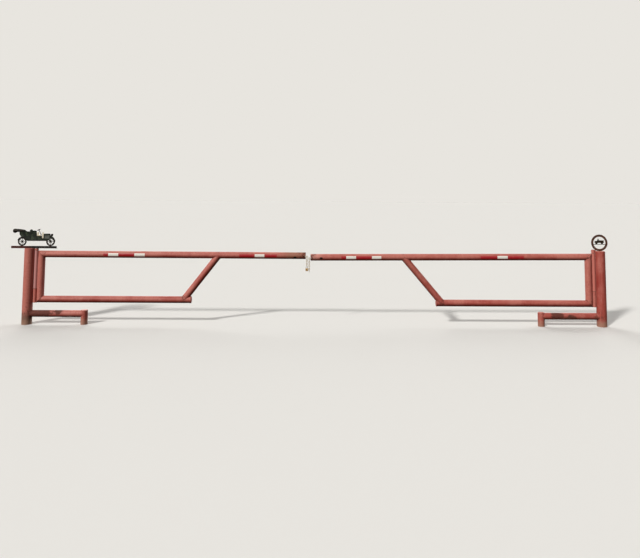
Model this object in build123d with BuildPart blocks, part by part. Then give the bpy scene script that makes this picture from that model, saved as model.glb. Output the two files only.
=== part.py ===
"""Double-leaf pipe swing gate between two pipe posts, in millimetres.

The gate stands along X, with its left post's axis on the origin. Z is up from the ground
and Y runs through the gateway. Each leaf is a welded frame of round pipe that turns on an
upright pin beside its post. The long top rail reaches the middle of the gateway alone, and
a slanting pipe carries it from a shorter bottom rail. Each post has a toe brace that runs
under its leaf to a stub in the ground, and a cut-out steel ornament on its cap.
"""

import os
from math import cos, pi, sin

from build123d import *

# Gateway and posts
clear_opening = 9754.0
post_od = 168.3
post_wall = 7.1
post_cap_thickness = 8.0
post_cap_bevel = 1.6
cap_ledge = 3.0

# Leaf pipes
pipe_od = 114.3
pipe_wall = 6.0
top_rail_height = 1190.0
end_cap_thickness = 6.0
end_cap_bevel = 1.5

# Left side, with distances along the gate from the post's axis or from the hinge axis
left_post_rise = 38.0
left_hinge_stand = -6.0
left_leaf_length = 4652.0
left_droop = 6.0
left_bottom_rail_height = 423.0
left_bottom_rail_end = 2685.0
left_diagonal_foot = 2554.0
left_diagonal_head = 3145.0
left_brace_length = 980.0
left_brace_height = 179.0
left_hole_drop = 25.0

# Right side, whose leaf reaches up to the left one
right_post_rise = 45.0
right_hinge_stand = 21.0
right_droop = 33.0
right_bottom_rail_height = 388.0
right_bottom_rail_end = 2761.0
right_diagonal_foot = 2657.0
right_diagonal_head = 3320.0
right_brace_length = 1058.0
right_brace_height = 171.0
right_hole_drop = 10.0

# Hinges
hinge_od = 60.3
hinge_wall = 5.5
pin_clearance = 0.4
pin_bevel = 3.0
post_strip = 8.0
leaf_strip = 6.0
strip_width = 25.0
lower_knuckle_head = 600.0
washer_thickness = 5.0
thrust_gap = 0.3
hinge_head_gap = 6.0
pin_foot_inset = 10.0

# Root of the welds between pipes that meet on a curved face
weld_gap = 0.2

# Chain holes at the free ends of the top rails
end_hole_d = 28.0
end_hole_ligament = 12.0
end_hole_drop = 8.0
rail_hole_width = 54.0
rail_hole_height = 30.0
rail_hole_from_end = 185.0

# Chain and padlock
chain_wire = 8.0
chain_inner_length = 30.0
chain_inner_width = 12.0
chain_slack = 0.3
chain_play = 0.8
strand_clearance = 5.6
left_chain_links = 6
right_chain_links = 8
wire_sides = 8
bend_corners = 4
lock_width = 44.0
lock_height = 46.0
lock_depth = 21.0
lock_corner = 4.0
lock_bevel = 1.5
shackle_wire = 7.0
shackle_span = 26.0
shackle_rise = 32.0
shackle_seat = 12.0
shackle_play = 0.5

# Old motor car on the left post
car_plate = 5.0
car_bar_size = 40.0
car_bar_wall = 5.0
car_bar_length = 782.0
car_bar_offset = 69.0
wheel_d = 150.0
wheel_rim = 25.0
wheel_hub_d = 34.0
wheel_spoke = 7.0
wheel_spokes = 8
wheelbase = 488.0
rear_wheel_offset = -136.0

# Ring on the right post
ring_od = 288.0
ring_band = 29.0
ring_plate = 6.0
ring_offset = -5.0
truck_plate = 5.0
truck_lap = 14.0
truck_ground_drop = 22.0
truck_ground_bar = 10.0
truck_wheel_d = 44.0
truck_wheelbase = 98.0
truck_bed_length = 84.0
truck_bed_height = 44.0
truck_cab_length = 34.0
truck_cab_height = 70.0
truck_bonnet_length = 44.0
truck_bonnet_height = 34.0
truck_corner = 8.0
truck_window = 12.0
truck_wheel_sink = 1.0


class Side:
    """One post with its leaf. Distances along the gate are taken from the post's axis."""

    def __init__(self, name, post_x, way):
        self.name = name
        self.post_x = post_x
        self.way = way

    def at(self, distance, y, z):
        """Return the point that lies this far along the gate from the post's axis."""
        return Vector(self.post_x + self.way * distance, y, z)


left = Side("left", 0.0, 1)
left.post_rise = left_post_rise
left.hinge_stand = left_hinge_stand
left.leaf_length = left_leaf_length
left.droop = left_droop
left.bottom_height = left_bottom_rail_height
left.bottom_end = left_bottom_rail_end
left.diagonal_foot = left_diagonal_foot
left.diagonal_head = left_diagonal_head
left.brace_length = left_brace_length
left.brace_height = left_brace_height
left.hole_drop = left_hole_drop

right = Side("right", clear_opening + post_od, -1)
right.post_rise = right_post_rise
right.hinge_stand = right_hinge_stand
right.droop = right_droop
right.bottom_height = right_bottom_rail_height
right.bottom_end = right_bottom_rail_end
right.diagonal_foot = right_diagonal_foot
right.diagonal_head = right_diagonal_head
right.brace_length = right_brace_length
right.brace_height = right_brace_height
right.hole_drop = right_hole_drop

sides = (left, right)

# Distances from a post's axis
hinge_offset = post_od / 2 + post_strip + hinge_od / 2
stile_offset = hinge_offset + hinge_od / 2 + leaf_strip + pipe_od / 2

# Heights of the hinge pieces
pin_d = hinge_od - 2 * hinge_wall - 2 * pin_clearance
sleeve_foot = lower_knuckle_head + washer_thickness + thrust_gap
stile_head = top_rail_height + pipe_od / 2
head_knuckle_foot = stile_head + hinge_head_gap
for gate_side in sides:
    gate_side.post_height = stile_head + gate_side.post_rise
    gate_side.hinge_top = gate_side.post_height + gate_side.hinge_stand
    gate_side.hinge_foot = gate_side.bottom_height - pipe_od / 2

# The gap between the leaves leaves room for a strand of chain on each and for the padlock
link_width = chain_inner_width + 2 * chain_wire
chain_reach = chain_inner_length / 2 - end_hole_ligament - chain_play
hang_reach = chain_reach + (chain_inner_length + chain_wire) / 2
leaf_gap = 2 * hang_reach + lock_width / 2 + link_width / 2 + strand_clearance
right.leaf_length = right.post_x - 2 * hinge_offset - left.leaf_length - leaf_gap


def round_pipe(start, end, outer, wall):
    """Make a straight round pipe from start to end."""
    run = end - start
    with BuildPart() as pipe:
        with BuildSketch(Plane(origin=start, z_dir=run)):
            Circle(outer / 2)
            Circle(outer / 2 - wall, mode=Mode.SUBTRACT)
        extrude(amount=run.length)
    return pipe


def round_bar(start, end, diameter):
    """Make a straight solid bar from start to end, also used to cut a saddle."""
    run = end - start
    with BuildPart() as bar:
        with BuildSketch(Plane(origin=start, z_dir=run)):
            Circle(diameter / 2)
        extrude(amount=run.length)
    return bar


def bevelled_disc(centre, diameter, thickness, bevel):
    """Make a flat round plate that lies on its centre, with its top edge bevelled."""
    with BuildPart() as disc:
        with BuildSketch(Plane(origin=centre)):
            Circle(diameter / 2)
        extrude(amount=thickness)
        chamfer(disc.edges().group_by(Axis.Z)[-1], bevel)
    return disc


def on_both_sides(make):
    """Make the same piece on the left and on the right, as solids of one part."""
    with BuildPart() as pair:
        for side in sides:
            add(make(side).part)
    return pair


def finish(piece, name):
    """Name a finished piece and write its file."""
    piece.part.label = name
    export_step(piece.part, f"parts/{name}.step")


# Posts

def make_post(side):
    """Post pipe from the ground to the underside of its cap."""
    return round_pipe(side.at(0, 0, 0), side.at(0, 0, side.post_height - post_cap_thickness),
                      post_od, post_wall)


def make_post_cap(side):
    """Flat round cap on the post, set back by the ledge that its weld fills."""
    foot = side.at(0, 0, side.post_height - post_cap_thickness)
    return bevelled_disc(foot, post_od - 2 * cap_ledge, post_cap_thickness, post_cap_bevel)


def make_toe_brace(side):
    """Low pipe from the post to its stub, saddled to both."""
    start = side.at(0, 0, side.brace_height)
    end = side.at(side.brace_length, 0, side.brace_height)
    head = Vector(0, 0, side.post_height)
    post_cut = round_bar(side.at(0, 0, 0), side.at(0, 0, 0) + head, post_od + 2 * weld_gap)
    stub_foot = side.at(side.brace_length, 0, 0)
    stub_cut = round_bar(stub_foot, stub_foot + head, pipe_od + 2 * weld_gap)
    with BuildPart() as brace:
        add(round_pipe(start, end, pipe_od, pipe_wall).part)
        add(post_cut.part, mode=Mode.SUBTRACT)
        add(stub_cut.part, mode=Mode.SUBTRACT)
    return brace


def make_toe_stub(side):
    """Short upright pipe in the ground at the end of the brace."""
    head = side.brace_height + pipe_od / 2
    return round_pipe(side.at(side.brace_length, 0, 0), side.at(side.brace_length, 0, head),
                      pipe_od, pipe_wall)


def make_toe_stub_cap(side):
    """Round cap on the stub, set back like the post's."""
    foot = side.at(side.brace_length, 0, side.brace_height + pipe_od / 2)
    return bevelled_disc(foot, pipe_od - 2 * cap_ledge, end_cap_thickness, end_cap_bevel)


# Hinge pieces that stay with the post

def hinge_pipe(side, foot, head):
    """Length of hinge pipe on the hinge axis."""
    return round_pipe(side.at(hinge_offset, 0, foot), side.at(hinge_offset, 0, head),
                      hinge_od, hinge_wall)


def make_lower_knuckle(side):
    """Fixed hinge pipe that carries the leaf, flush with the bottom rail at its foot."""
    return hinge_pipe(side, side.hinge_foot, lower_knuckle_head)


def make_upper_knuckle(side):
    """Fixed hinge pipe above the leaf."""
    return hinge_pipe(side, head_knuckle_foot, side.hinge_top)


def make_strips(side, near, near_d, far, far_d, spans):
    """Flat strips that fill the gap between two upright pipes over the given heights."""
    with BuildPart() as strips:
        for foot, head in spans:
            with BuildSketch(Plane(origin=side.at((near + far) / 2, 0, foot))):
                Rectangle(far - near, strip_width)
            extrude(amount=head - foot)
            for distance, diameter in ((near, near_d), (far, far_d)):
                cut = round_bar(side.at(distance, 0, foot), side.at(distance, 0, head),
                                diameter + 2 * weld_gap)
                add(cut.part, mode=Mode.SUBTRACT)
    return strips


def make_post_strips(side):
    """Strips that stand the two fixed knuckles off the post."""
    lower = (side.hinge_foot, lower_knuckle_head)
    upper = (head_knuckle_foot, side.hinge_top)
    return make_strips(side, 0, post_od, hinge_offset, hinge_od, (lower, upper))


def make_washer(side):
    """Thrust washer between the lower knuckle and the sleeve of the leaf."""
    with BuildPart() as washer:
        with BuildSketch(Plane(origin=side.at(hinge_offset, 0, lower_knuckle_head))):
            Circle(hinge_od / 2)
            Circle(pin_d / 2 + pin_clearance, mode=Mode.SUBTRACT)
        extrude(amount=washer_thickness)
    return washer


def make_pin(side):
    """Solid hinge pin through both knuckles and the sleeve."""
    foot = side.at(hinge_offset, 0, side.hinge_foot + pin_foot_inset)
    return bevelled_disc(foot, pin_d, side.hinge_top - foot.Z, pin_bevel)


# Leaf

def rail_line(side):
    """Return the corner, the free end and the direction of the drooping top rail."""
    corner = side.at(stile_offset, 0, top_rail_height)
    tip = side.at(hinge_offset + side.leaf_length, 0, top_rail_height - side.droop)
    return corner, tip, (tip - corner).normalized()


def on_top_rail(side, distance):
    """Return the point on the top rail's axis this far from the hinge axis."""
    corner, tip, way = rail_line(side)
    reach = distance + hinge_offset - stile_offset
    return corner + way * (reach / abs(way.X))


def mitre(corner, kept, other):
    """Plane through a corner that halves the angle, facing the pipe that is kept."""
    return Plane(origin=corner, z_dir=kept - other)


def make_stile(side):
    """Upright pipe of the leaf, mitred to both rails."""
    corner, tip, rail_way = rail_line(side)
    foot = side.at(stile_offset, 0, side.bottom_height)
    along = Vector(side.way, 0, 0)
    up = Vector(0, 0, 1)
    with BuildPart() as stile:
        add(round_pipe(foot - up * pipe_od, corner + up * pipe_od, pipe_od, pipe_wall).part)
        split(bisect_by=mitre(corner, -up, rail_way), keep=Keep.TOP)
        split(bisect_by=mitre(foot, up, along), keep=Keep.TOP)
    return stile


def make_top_rail(side):
    """Long top rail with its mitre, its chain holes and an open free end."""
    corner, tip, rail_way = rail_line(side)
    up = Vector(0, 0, 1)
    front = Vector(0, -pipe_od, 0)
    end_hole = tip - rail_way * (end_hole_ligament + end_hole_d / 2) - up * end_hole_drop
    slot = tip - rail_way * rail_hole_from_end - up * side.hole_drop
    with BuildPart() as rail:
        add(round_pipe(corner - rail_way * pipe_od, tip, pipe_od, pipe_wall).part)
        split(bisect_by=mitre(corner, rail_way, -up), keep=Keep.TOP)
        add(round_bar(end_hole, end_hole + front, end_hole_d).part, mode=Mode.SUBTRACT)
        with BuildSketch(Plane(origin=slot, x_dir=(1, 0, 0), z_dir=(0, -1, 0))):
            SlotOverall(rail_hole_width, rail_hole_height)
        extrude(amount=pipe_od, mode=Mode.SUBTRACT)
    return rail


def make_bottom_rail(side):
    """Short bottom rail, mitred to the stile."""
    corner = side.at(stile_offset, 0, side.bottom_height)
    along = Vector(side.way, 0, 0)
    end = side.at(hinge_offset + side.bottom_end - end_cap_thickness, 0, side.bottom_height)
    with BuildPart() as rail:
        add(round_pipe(corner - along * pipe_od, end, pipe_od, pipe_wall).part)
        split(bisect_by=mitre(corner, along, Vector(0, 0, 1)), keep=Keep.TOP)
    return rail


def make_bottom_rail_cap(side):
    """Round plate that closes the free end of the bottom rail."""
    end = side.at(hinge_offset + side.bottom_end, 0, side.bottom_height)
    return round_bar(end - Vector(side.way * end_cap_thickness, 0, 0), end, pipe_od)


def make_diagonal(side):
    """Slanting pipe from the bottom rail up to the top rail, saddled to both."""
    foot = side.at(hinge_offset + side.diagonal_foot, 0, side.bottom_height)
    head = on_top_rail(side, side.diagonal_head)
    corner, tip, rail_way = rail_line(side)
    along = Vector(side.way * 2 * pipe_od, 0, 0)
    saddle = pipe_od + 2 * weld_gap
    with BuildPart() as diagonal:
        add(round_pipe(foot, head, pipe_od, pipe_wall).part)
        add(round_bar(corner, tip, saddle).part, mode=Mode.SUBTRACT)
        add(round_bar(foot - along, foot + along, saddle).part, mode=Mode.SUBTRACT)
    return diagonal


def make_sleeve(side):
    """Hinge pipe of the leaf, which turns on the pin."""
    return hinge_pipe(side, sleeve_foot, stile_head)


def make_leaf_strip(side):
    """Strip that joins the sleeve to the stile."""
    spans = ((sleeve_foot, top_rail_height - pipe_od / 2),)
    return make_strips(side, hinge_offset, hinge_od, stile_offset, pipe_od, spans)


# Chain and padlock

def half_turn(centre_x, centre_y, radius, first_angle):
    """Return the corners of a clockwise half turn, whose short runs touch the true bend."""
    step = pi / bend_corners
    reach = radius / cos(step / 2)
    angles = [first_angle - step * (corner + 0.5) for corner in range(bend_corners)]
    return [(centre_x + reach * cos(angle), centre_y + reach * sin(angle)) for angle in angles]


def bend_wire(plane, points, diameter, start, heading, closed):
    """Sweep a wire of a few flat sides along a path of straight runs."""
    with BuildPart() as wire:
        with BuildLine(plane) as path:
            Polyline(*points, close=closed)
        with BuildSketch(Plane(origin=start, x_dir=plane.z_dir, z_dir=heading)):
            RegularPolygon(diameter / 2, wire_sides, major_radius=False, rotation=180 / wire_sides)
        sweep(path=path.wires()[0], transition=Transition.RIGHT)
    return wire


def make_link(centre, long_way, flat_way):
    """Chain link with its long axis along long_way, its wire bent in the plane of flat_way."""
    half_run = (chain_inner_length - chain_inner_width) / 2
    bend = (chain_inner_width + chain_wire) / 2
    plane = Plane(origin=centre, x_dir=long_way, z_dir=long_way.cross(flat_way))
    points = [(0, bend)] + half_turn(half_run, 0, bend, pi / 2)
    points += half_turn(-half_run, 0, bend, -pi / 2)
    return bend_wire(plane, points, chain_wire, centre + flat_way * bend, long_way, True)


def chain_start(side):
    """Centre of the link that is threaded through the end hole of the top rail."""
    corner, tip, rail_way = rail_line(side)
    wall_radius = (pipe_od - pipe_wall) / 2
    depth = (wall_radius ** 2 - end_hole_drop ** 2) ** 0.5
    return tip + Vector(side.way * chain_reach, -depth, -end_hole_drop)


def chain_tail(side, links):
    """Point inside the lowest link on which the next piece hangs."""
    first = chain_start(side)
    hang_x = first.X + side.way * (hang_reach - chain_reach)
    pitch = chain_inner_length - chain_slack
    return Vector(hang_x, first.Y, first.Z + chain_wire / 2 + chain_slack / 2 - links * pitch)


def make_chain(side, links):
    """One threaded link and the links that hang from it, none of them touching."""
    along = Vector(side.way, 0, 0)
    across = Vector(0, 1, 0)
    up = Vector(0, 0, 1)
    with BuildPart() as chain:
        add(make_link(chain_start(side), along, across).part)
        for index in range(links):
            centre = chain_tail(side, index) - up * chain_inner_length / 2
            add(make_link(centre, up, along if index % 2 == 0 else across).part)
    return chain


def make_shackle():
    """Bent steel bow of the padlock, seated in its body."""
    hang = chain_tail(left, left_chain_links)
    bend = shackle_span / 2
    leg = shackle_rise + shackle_seat - bend
    foot = Vector(hang.X, hang.Y, hang.Z + shackle_wire / 2 - bend - leg)
    plane = Plane(origin=foot, x_dir=(1, 0, 0), z_dir=(0, -1, 0))
    points = [(-bend, 0)] + half_turn(0, leg, bend, pi) + [(bend, 0)]
    start = foot - Vector(bend, 0, 0)
    return bend_wire(plane, points, shackle_wire, start, Vector(0, 0, 1), False)


def make_lock_body():
    """Block of the padlock with a hole for each leg of the shackle."""
    hang = chain_tail(left, left_chain_links)
    head = hang.Z + shackle_wire / 2 - shackle_rise
    with BuildPart() as body:
        with BuildSketch(Plane(origin=Vector(hang.X, hang.Y, head))) as block:
            Rectangle(lock_width, lock_depth)
            chamfer(block.vertices(), lock_corner)
        extrude(amount=-lock_height)
        chamfer(body.faces().sort_by(Axis.Z)[-1].edges(), lock_bevel)
        chamfer(body.faces().sort_by(Axis.Z)[0].edges(), lock_bevel)
        with Locations(Plane(origin=Vector(hang.X, hang.Y, head))):
            with GridLocations(shackle_span, 1, 2, 1):
                Hole(shackle_wire / 2 + shackle_play, depth=shackle_seat + shackle_play)
    return body


# Old motor car

def car_plane(y):
    """Plane of the car's plates, from the rear wheel's hub, facing the road."""
    hub_height = left.post_height + car_bar_size + wheel_d / 2
    return Plane(origin=left.at(rear_wheel_offset, y, hub_height), x_dir=(1, 0, 0),
                 z_dir=(0, -1, 0))


def make_car_bar():
    """Steel angle across the cap that carries the car."""
    with BuildPart() as bar:
        start = left.at(car_bar_offset - car_bar_length / 2, 0, left.post_height)
        with BuildSketch(Plane(origin=start, x_dir=(0, 1, 0), z_dir=(1, 0, 0))):
            with BuildLine():
                Polyline((-car_bar_wall, 0), (car_bar_size - car_bar_wall, 0),
                         (car_bar_size - car_bar_wall, car_bar_wall), (0, car_bar_wall),
                         (0, car_bar_size), (-car_bar_wall, car_bar_size), close=True)
            make_face()
        extrude(amount=car_bar_length)
    return bar


def make_car_wheels():
    """Two spoked wheels cut from plate."""
    rim_inner = wheel_d / 2 - wheel_rim
    with BuildPart() as wheels:
        with BuildSketch(car_plane(0)):
            with Locations((0, 0), (wheelbase, 0)):
                Circle(wheel_d / 2)
                Circle(rim_inner, mode=Mode.SUBTRACT)
                with PolarLocations(0, wheel_spokes // 2, angular_range=180):
                    Rectangle(2 * rim_inner + wheel_rim, wheel_spoke)
                Circle(wheel_hub_d / 2)
        extrude(amount=car_plate)
    return wheels


def make_car_body():
    """Side view of an open touring car with its top folded, cut from plate.

    Its outline is drawn from the rear wheel's hub in 1/488 of the wheelbase.
    """
    unit = wheelbase / 488

    def on_car(*points):
        return [(unit * x, unit * y) for x, y in points]

    with BuildPart() as body:
        with BuildSketch(car_plane(-car_plate)):
            with BuildLine():
                Polyline(*on_car((-62, 8), (-79, 22), (-60, 58), (-22, 84), (-20, 100),
                                 (-46, 112), (-54, 164), (-84, 166), (-108, 154)))
                ThreePointArc(*on_car((-108, 154), (-166, 186), (-128, 220)))
                Polyline(*on_car((-128, 220), (-16, 212), (46, 200), (60, 182), (84, 175),
                                 (130, 174)))
                ThreePointArc(*on_car((130, 174), (156, 210), (178, 184)))
                ThreePointArc(*on_car((178, 184), (212, 190), (244, 182)))
                Polyline(*on_car((244, 182), (250, 98), (332, 98), (340, 158), (366, 160),
                                 (366, 132), (380, 138), (472, 140), (484, 126), (484, 108),
                                 (497, 112)))
                ThreePointArc(*on_car((497, 112), (514, 136), (526, 104)))
                Line(*on_car((526, 104), (514, 92)))
                ThreePointArc(*on_car((514, 92), (554, 52), (568, 4)))
                Line(*on_car((568, 4), (548, 4)))
                ThreePointArc(*on_car((548, 4), (534, 40), (496, 60)))
                Polyline(*on_car((496, 60), (472, 46), (502, 14), (500, -4), (488, -12),
                                 (450, 24), (414, 20), (69, 20)))
                ThreePointArc(*on_car((69, 20), (51, 51), (0, 72)))
                ThreePointArc(*on_car((0, 72), (-44, 57), (-62, 8)))
            make_face()
        extrude(amount=car_plate)
    return body


# Ring

def ring_plane():
    """Plane of the ring from its centre, facing the road."""
    centre = right.post_height + ring_od / 2
    return Plane(origin=Vector(right.post_x + ring_offset, ring_plate / 2, centre),
                 x_dir=(1, 0, 0), z_dir=(0, -1, 0))


def make_ring():
    """Flat ring that stands on the cap."""
    with BuildPart() as ring:
        with BuildSketch(ring_plane()):
            Circle(ring_od / 2)
            Circle(ring_od / 2 - ring_band, mode=Mode.SUBTRACT)
        extrude(amount=ring_plate)
    return ring


def make_truck():
    """Plain farm truck on a ground strip, cut from one plate behind the ring.

    It faces the gateway, so its nose lies on the side of lower X.
    """
    inner = ring_od / 2 - ring_band
    strip_centre = -truck_ground_drop - truck_ground_bar / 2
    half_chord = (inner ** 2 - strip_centre ** 2) ** 0.5
    hub = -truck_ground_drop + truck_wheel_d / 2 - truck_wheel_sink
    tail = (truck_bed_length + truck_cab_length + truck_bonnet_length) / 2
    cab = tail - truck_bed_length
    bonnet = cab - truck_cab_length
    nose = bonnet - truck_bonnet_length
    roof = hub + truck_cab_height
    hood = hub + truck_bonnet_height
    window = ((cab + bonnet) / 2, roof - truck_corner - truck_window / 2)
    with BuildPart() as truck:
        with BuildSketch(ring_plane().offset(-truck_plate)):
            with Locations((0, strip_centre)):
                Rectangle(2 * (half_chord + truck_lap), truck_ground_bar)
            with Locations((-truck_wheelbase / 2, hub), (truck_wheelbase / 2, hub)):
                Circle(truck_wheel_d / 2)
            with BuildLine():
                Polyline((tail, hub), (tail, hub + truck_bed_height),
                         (cab, hub + truck_bed_height), (cab, roof - truck_corner))
                Polyline((cab, roof - truck_corner), (cab - truck_corner, roof),
                         (bonnet + truck_corner, roof), (bonnet, hood),
                         (nose + truck_corner, hood), (nose, hood - truck_corner),
                         (nose, hub), (tail, hub))
            make_face()
            with Locations(window):
                Rectangle(truck_window, truck_window, mode=Mode.SUBTRACT)
        extrude(amount=truck_plate)
    return truck


os.makedirs("parts", exist_ok=True)

for gate_side in sides:
    prefix = gate_side.name
    finish(make_post(gate_side), f"{prefix}_post")
    finish(make_toe_brace(gate_side), f"{prefix}_toe_brace")
    finish(make_stile(gate_side), f"{prefix}_stile")
    finish(make_top_rail(gate_side), f"{prefix}_top_rail")
    finish(make_bottom_rail(gate_side), f"{prefix}_bottom_rail")
    finish(make_bottom_rail_cap(gate_side), f"{prefix}_bottom_rail_cap")
    finish(make_diagonal(gate_side), f"{prefix}_diagonal")
    finish(make_sleeve(gate_side), f"{prefix}_hinge_sleeve")
    finish(make_leaf_strip(gate_side), f"{prefix}_leaf_strip")

finish(on_both_sides(make_post_cap), "post_caps")
finish(on_both_sides(make_toe_stub), "toe_stubs")
finish(on_both_sides(make_toe_stub_cap), "toe_stub_caps")
finish(on_both_sides(make_lower_knuckle), "lower_knuckles")
finish(on_both_sides(make_upper_knuckle), "upper_knuckles")
finish(on_both_sides(make_post_strips), "post_strips")
finish(on_both_sides(make_washer), "thrust_washers")
finish(on_both_sides(make_pin), "hinge_pins")

finish(make_chain(left, left_chain_links), "left_chain")
finish(make_chain(right, right_chain_links), "right_chain")
finish(make_shackle(), "padlock_shackle")
finish(make_lock_body(), "padlock_body")
finish(make_car_bar(), "car_base_bar")
finish(make_car_wheels(), "car_wheels")
finish(make_car_body(), "car_body")
finish(make_ring(), "ring_band")
finish(make_truck(), "ring_truck")
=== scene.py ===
"""Looks of a double-leaf pipe swing gate, laid out as a Blender add-on, in metres.

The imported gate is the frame: the left post's axis stands on the origin, X runs along the
closed gate, Z is up and the road side faces -Y. Pipes, posts and plates keep their solids
and get their paint here. Weld beads, reflective tape, chain links, the padlock and the trim
of the two ornaments are modelled here, each on the body that carries it.
"""

from contextlib import contextmanager
from math import pi, radians, sin, sqrt

import bmesh
import bpy
from bpy.props import FloatProperty, FloatVectorProperty, IntProperty, PointerProperty
from mathutils import Matrix, Vector


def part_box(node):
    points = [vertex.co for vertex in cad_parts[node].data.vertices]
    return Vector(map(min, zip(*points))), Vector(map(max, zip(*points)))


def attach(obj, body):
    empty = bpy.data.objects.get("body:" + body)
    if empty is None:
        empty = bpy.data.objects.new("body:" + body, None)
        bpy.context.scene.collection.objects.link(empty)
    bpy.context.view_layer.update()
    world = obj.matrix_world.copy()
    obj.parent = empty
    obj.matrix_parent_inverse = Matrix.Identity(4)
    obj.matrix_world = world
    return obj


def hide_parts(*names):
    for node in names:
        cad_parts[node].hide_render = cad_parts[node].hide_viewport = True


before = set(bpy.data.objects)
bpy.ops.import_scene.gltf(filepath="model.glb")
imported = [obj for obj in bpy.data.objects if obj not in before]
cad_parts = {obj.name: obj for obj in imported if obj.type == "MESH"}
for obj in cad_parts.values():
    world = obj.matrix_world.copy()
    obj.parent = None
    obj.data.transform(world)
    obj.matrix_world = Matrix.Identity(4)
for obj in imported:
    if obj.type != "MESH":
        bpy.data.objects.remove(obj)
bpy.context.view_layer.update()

bl_info = {
    "name": "Pipe Gate Finishes",
    "version": (1, 0, 0),
    "blender": (4, 5, 0),
    "location": "View3D > Sidebar > Pipe Gate",
    "description": "Paints a welded pipe gate and adds its welds, tape, chain, lock and trim",
    "category": "Object",
}

# Pipe sizes of the frame
post_radius = 0.08415
pipe_radius = 0.05715
hinge_radius = 0.03015
cap_ledge = 0.003
strip_half_width = 0.0125
pin_radius = 0.02425
pin_inset = 0.010

# Height of each hinge's top over the top of its post pipe
hinge_top_rise = {"left": 0.002, "right": 0.029}

# Places along a leaf, from its hinge axis
diagonal_feet = {"left": 2.554, "right": 2.657}
diagonal_heads = {"left": 3.145, "right": 3.320}

up = Vector((0, 0, 1))
front = Vector((0, -1, 0))
# Way of the key light: paint that faces it turns paler, partly sun bleaching and partly painted
# light on the lit side
bleach_and_painted_light_side = Vector((-0.59, -0.65, 0.48))
# Way of the undersides and of the side away from the key light: the paint darkens towards it,
# painted shade with some grime
painted_shade_side = Vector((0.22, 0.10, -0.95))


def screen(red, green, blue):
    """Turn a colour of 0 to 255, as a screen shows it, into the linear one of a shader."""
    levels = []
    for level in (red / 255, green / 255, blue / 255):
        levels.append(level / 12.92 if level <= 0.04045 else ((level + 0.055) / 1.055) ** 2.4)
    return (*levels, 1.0)


def colour(name, description, red, green, blue):
    """Describe a colour that the user can change."""
    return FloatVectorProperty(name=name, description=description, subtype="COLOR", size=4,
                               min=0.0, max=1.0, default=screen(red, green, blue))


def length(name, description, metres):
    """Describe a length that the user can change."""
    return FloatProperty(name=name, description=description, default=metres, min=0.0,
                         precision=4, unit="LENGTH", subtype="DISTANCE")


def share(name, description, value):
    """Describe a share from none to all that the user can change."""
    return FloatProperty(name=name, description=description, default=value, min=0.0, max=1.0,
                         subtype="FACTOR")


def angle(name, description, degrees):
    """Describe an angle that the user can change."""
    return FloatProperty(name=name, description=description, default=radians(degrees),
                         subtype="ANGLE")


def power(name, description, value):
    """Describe the strength of a light that the user can change."""
    return FloatProperty(name=name, description=description, default=value, min=0.0)


def count(name, description, number, least=1):
    """Describe a number of like pieces that the user can change."""
    return IntProperty(name=name, description=description, default=number, min=least)


class PaintSettings(bpy.types.PropertyGroup):
    """Colours of the gate's red paint, of what has worn it and of the painted shade on its
    undersides.
    """

    base: colour("Paint", "Red oxide paint where it is sound", 172, 80, 69)
    faded: colour("Faded paint", "Paint that the sun has bleached", 192, 113, 101)
    deep: colour("Deep paint", "Paint that has kept its colour", 150, 54, 45)
    chalk: colour("Chalk", "Chalky bloom on the paint", 206, 140, 128)
    rust: colour("Rust", "Rust that has come through", 70, 28, 20)
    light_rust: colour("Light rust", "Paler parts of the rust", 124, 62, 48)
    raw_rust: colour("Bore rust", "Rust inside the pipes", 50, 28, 20)
    # The next two settings darken the undersides and the side away from the key light: painted
    # shade with some grime
    painted_shade_and_grime: colour("Grime", "Grime on the undersides", 90, 24, 15)
    painted_shade_and_grime_share: share("Grime share", "How much the undersides darken", 0.65)
    dust: colour("Dust", "Road dust near the ground", 168, 130, 110)
    fade_size: length("Fade size", "Size of the bleached patches", 0.45)
    rust_share: share("Rust share", "How much of the paint has rusted through", 0.36)


class WeldSettings(bpy.types.PropertyGroup):
    """Size of the weld beads."""

    bead: length("Bead radius", "Radius of a bead between pipes", 0.0045)
    small_bead: length("Small bead radius", "Radius of a bead on strips and caps", 0.003)
    pitch: length("Ripple pitch", "Distance from one ripple to the next", 0.006)
    ripple: share("Ripple depth", "Share of the radius that each ripple dips", 0.16)
    lumps: length("Lumps", "Height of the uneven lumps", 0.0009)


class TapeSettings(bpy.types.PropertyGroup):
    """Reflective tape on the top rails."""

    width: length("Tape width", "Width of the tape round the pipe", 0.0508)
    thickness: length("Tape thickness", "Thickness of the tape", 0.0005)
    red: colour("Tape red", "Red lengths of the tape", 178, 26, 36)
    white: colour("Tape white", "White lengths of the tape", 253, 249, 242)
    cell: length("Cell size", "Size of the tape's reflecting cells", 0.0035)


class ChainSettings(bpy.types.PropertyGroup):
    """Welded steel chain at the free ends of the leaves."""

    wire: length("Wire", "Diameter of the link's wire", 0.008)
    inner_length: length("Inner length", "Length of the opening in a link", 0.030)
    inner_width: length("Inner width", "Width of the opening in a link", 0.012)
    slack: length("Slack", "Play between two links", 0.0003)
    left_links: count("Left links", "Links that hang on the left leaf", 6)
    right_links: count("Right links", "Links that hang on the right leaf", 8)
    zinc: colour("Zinc", "Dull zinc on the links", 226, 212, 188)
    dull_zinc: colour("Dull zinc", "Darker patches on the links", 172, 156, 132)


class LockSettings(bpy.types.PropertyGroup):
    """Padlock on the left strand of chain."""

    brass: colour("Brass", "Brushed brass of the case", 216, 182, 128)
    tarnish: colour("Tarnish", "Dull brown on the brass", 142, 106, 62)
    bow: length("Bow wire", "Diameter of the bow", 0.007)
    span: length("Bow span", "Distance between the legs of the bow", 0.026)
    corner: length("Corner", "Radius of the upright edges of the case", 0.004)
    plug: length("Plug radius", "Radius of the round plug with the keyway", 0.0075)


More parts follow.
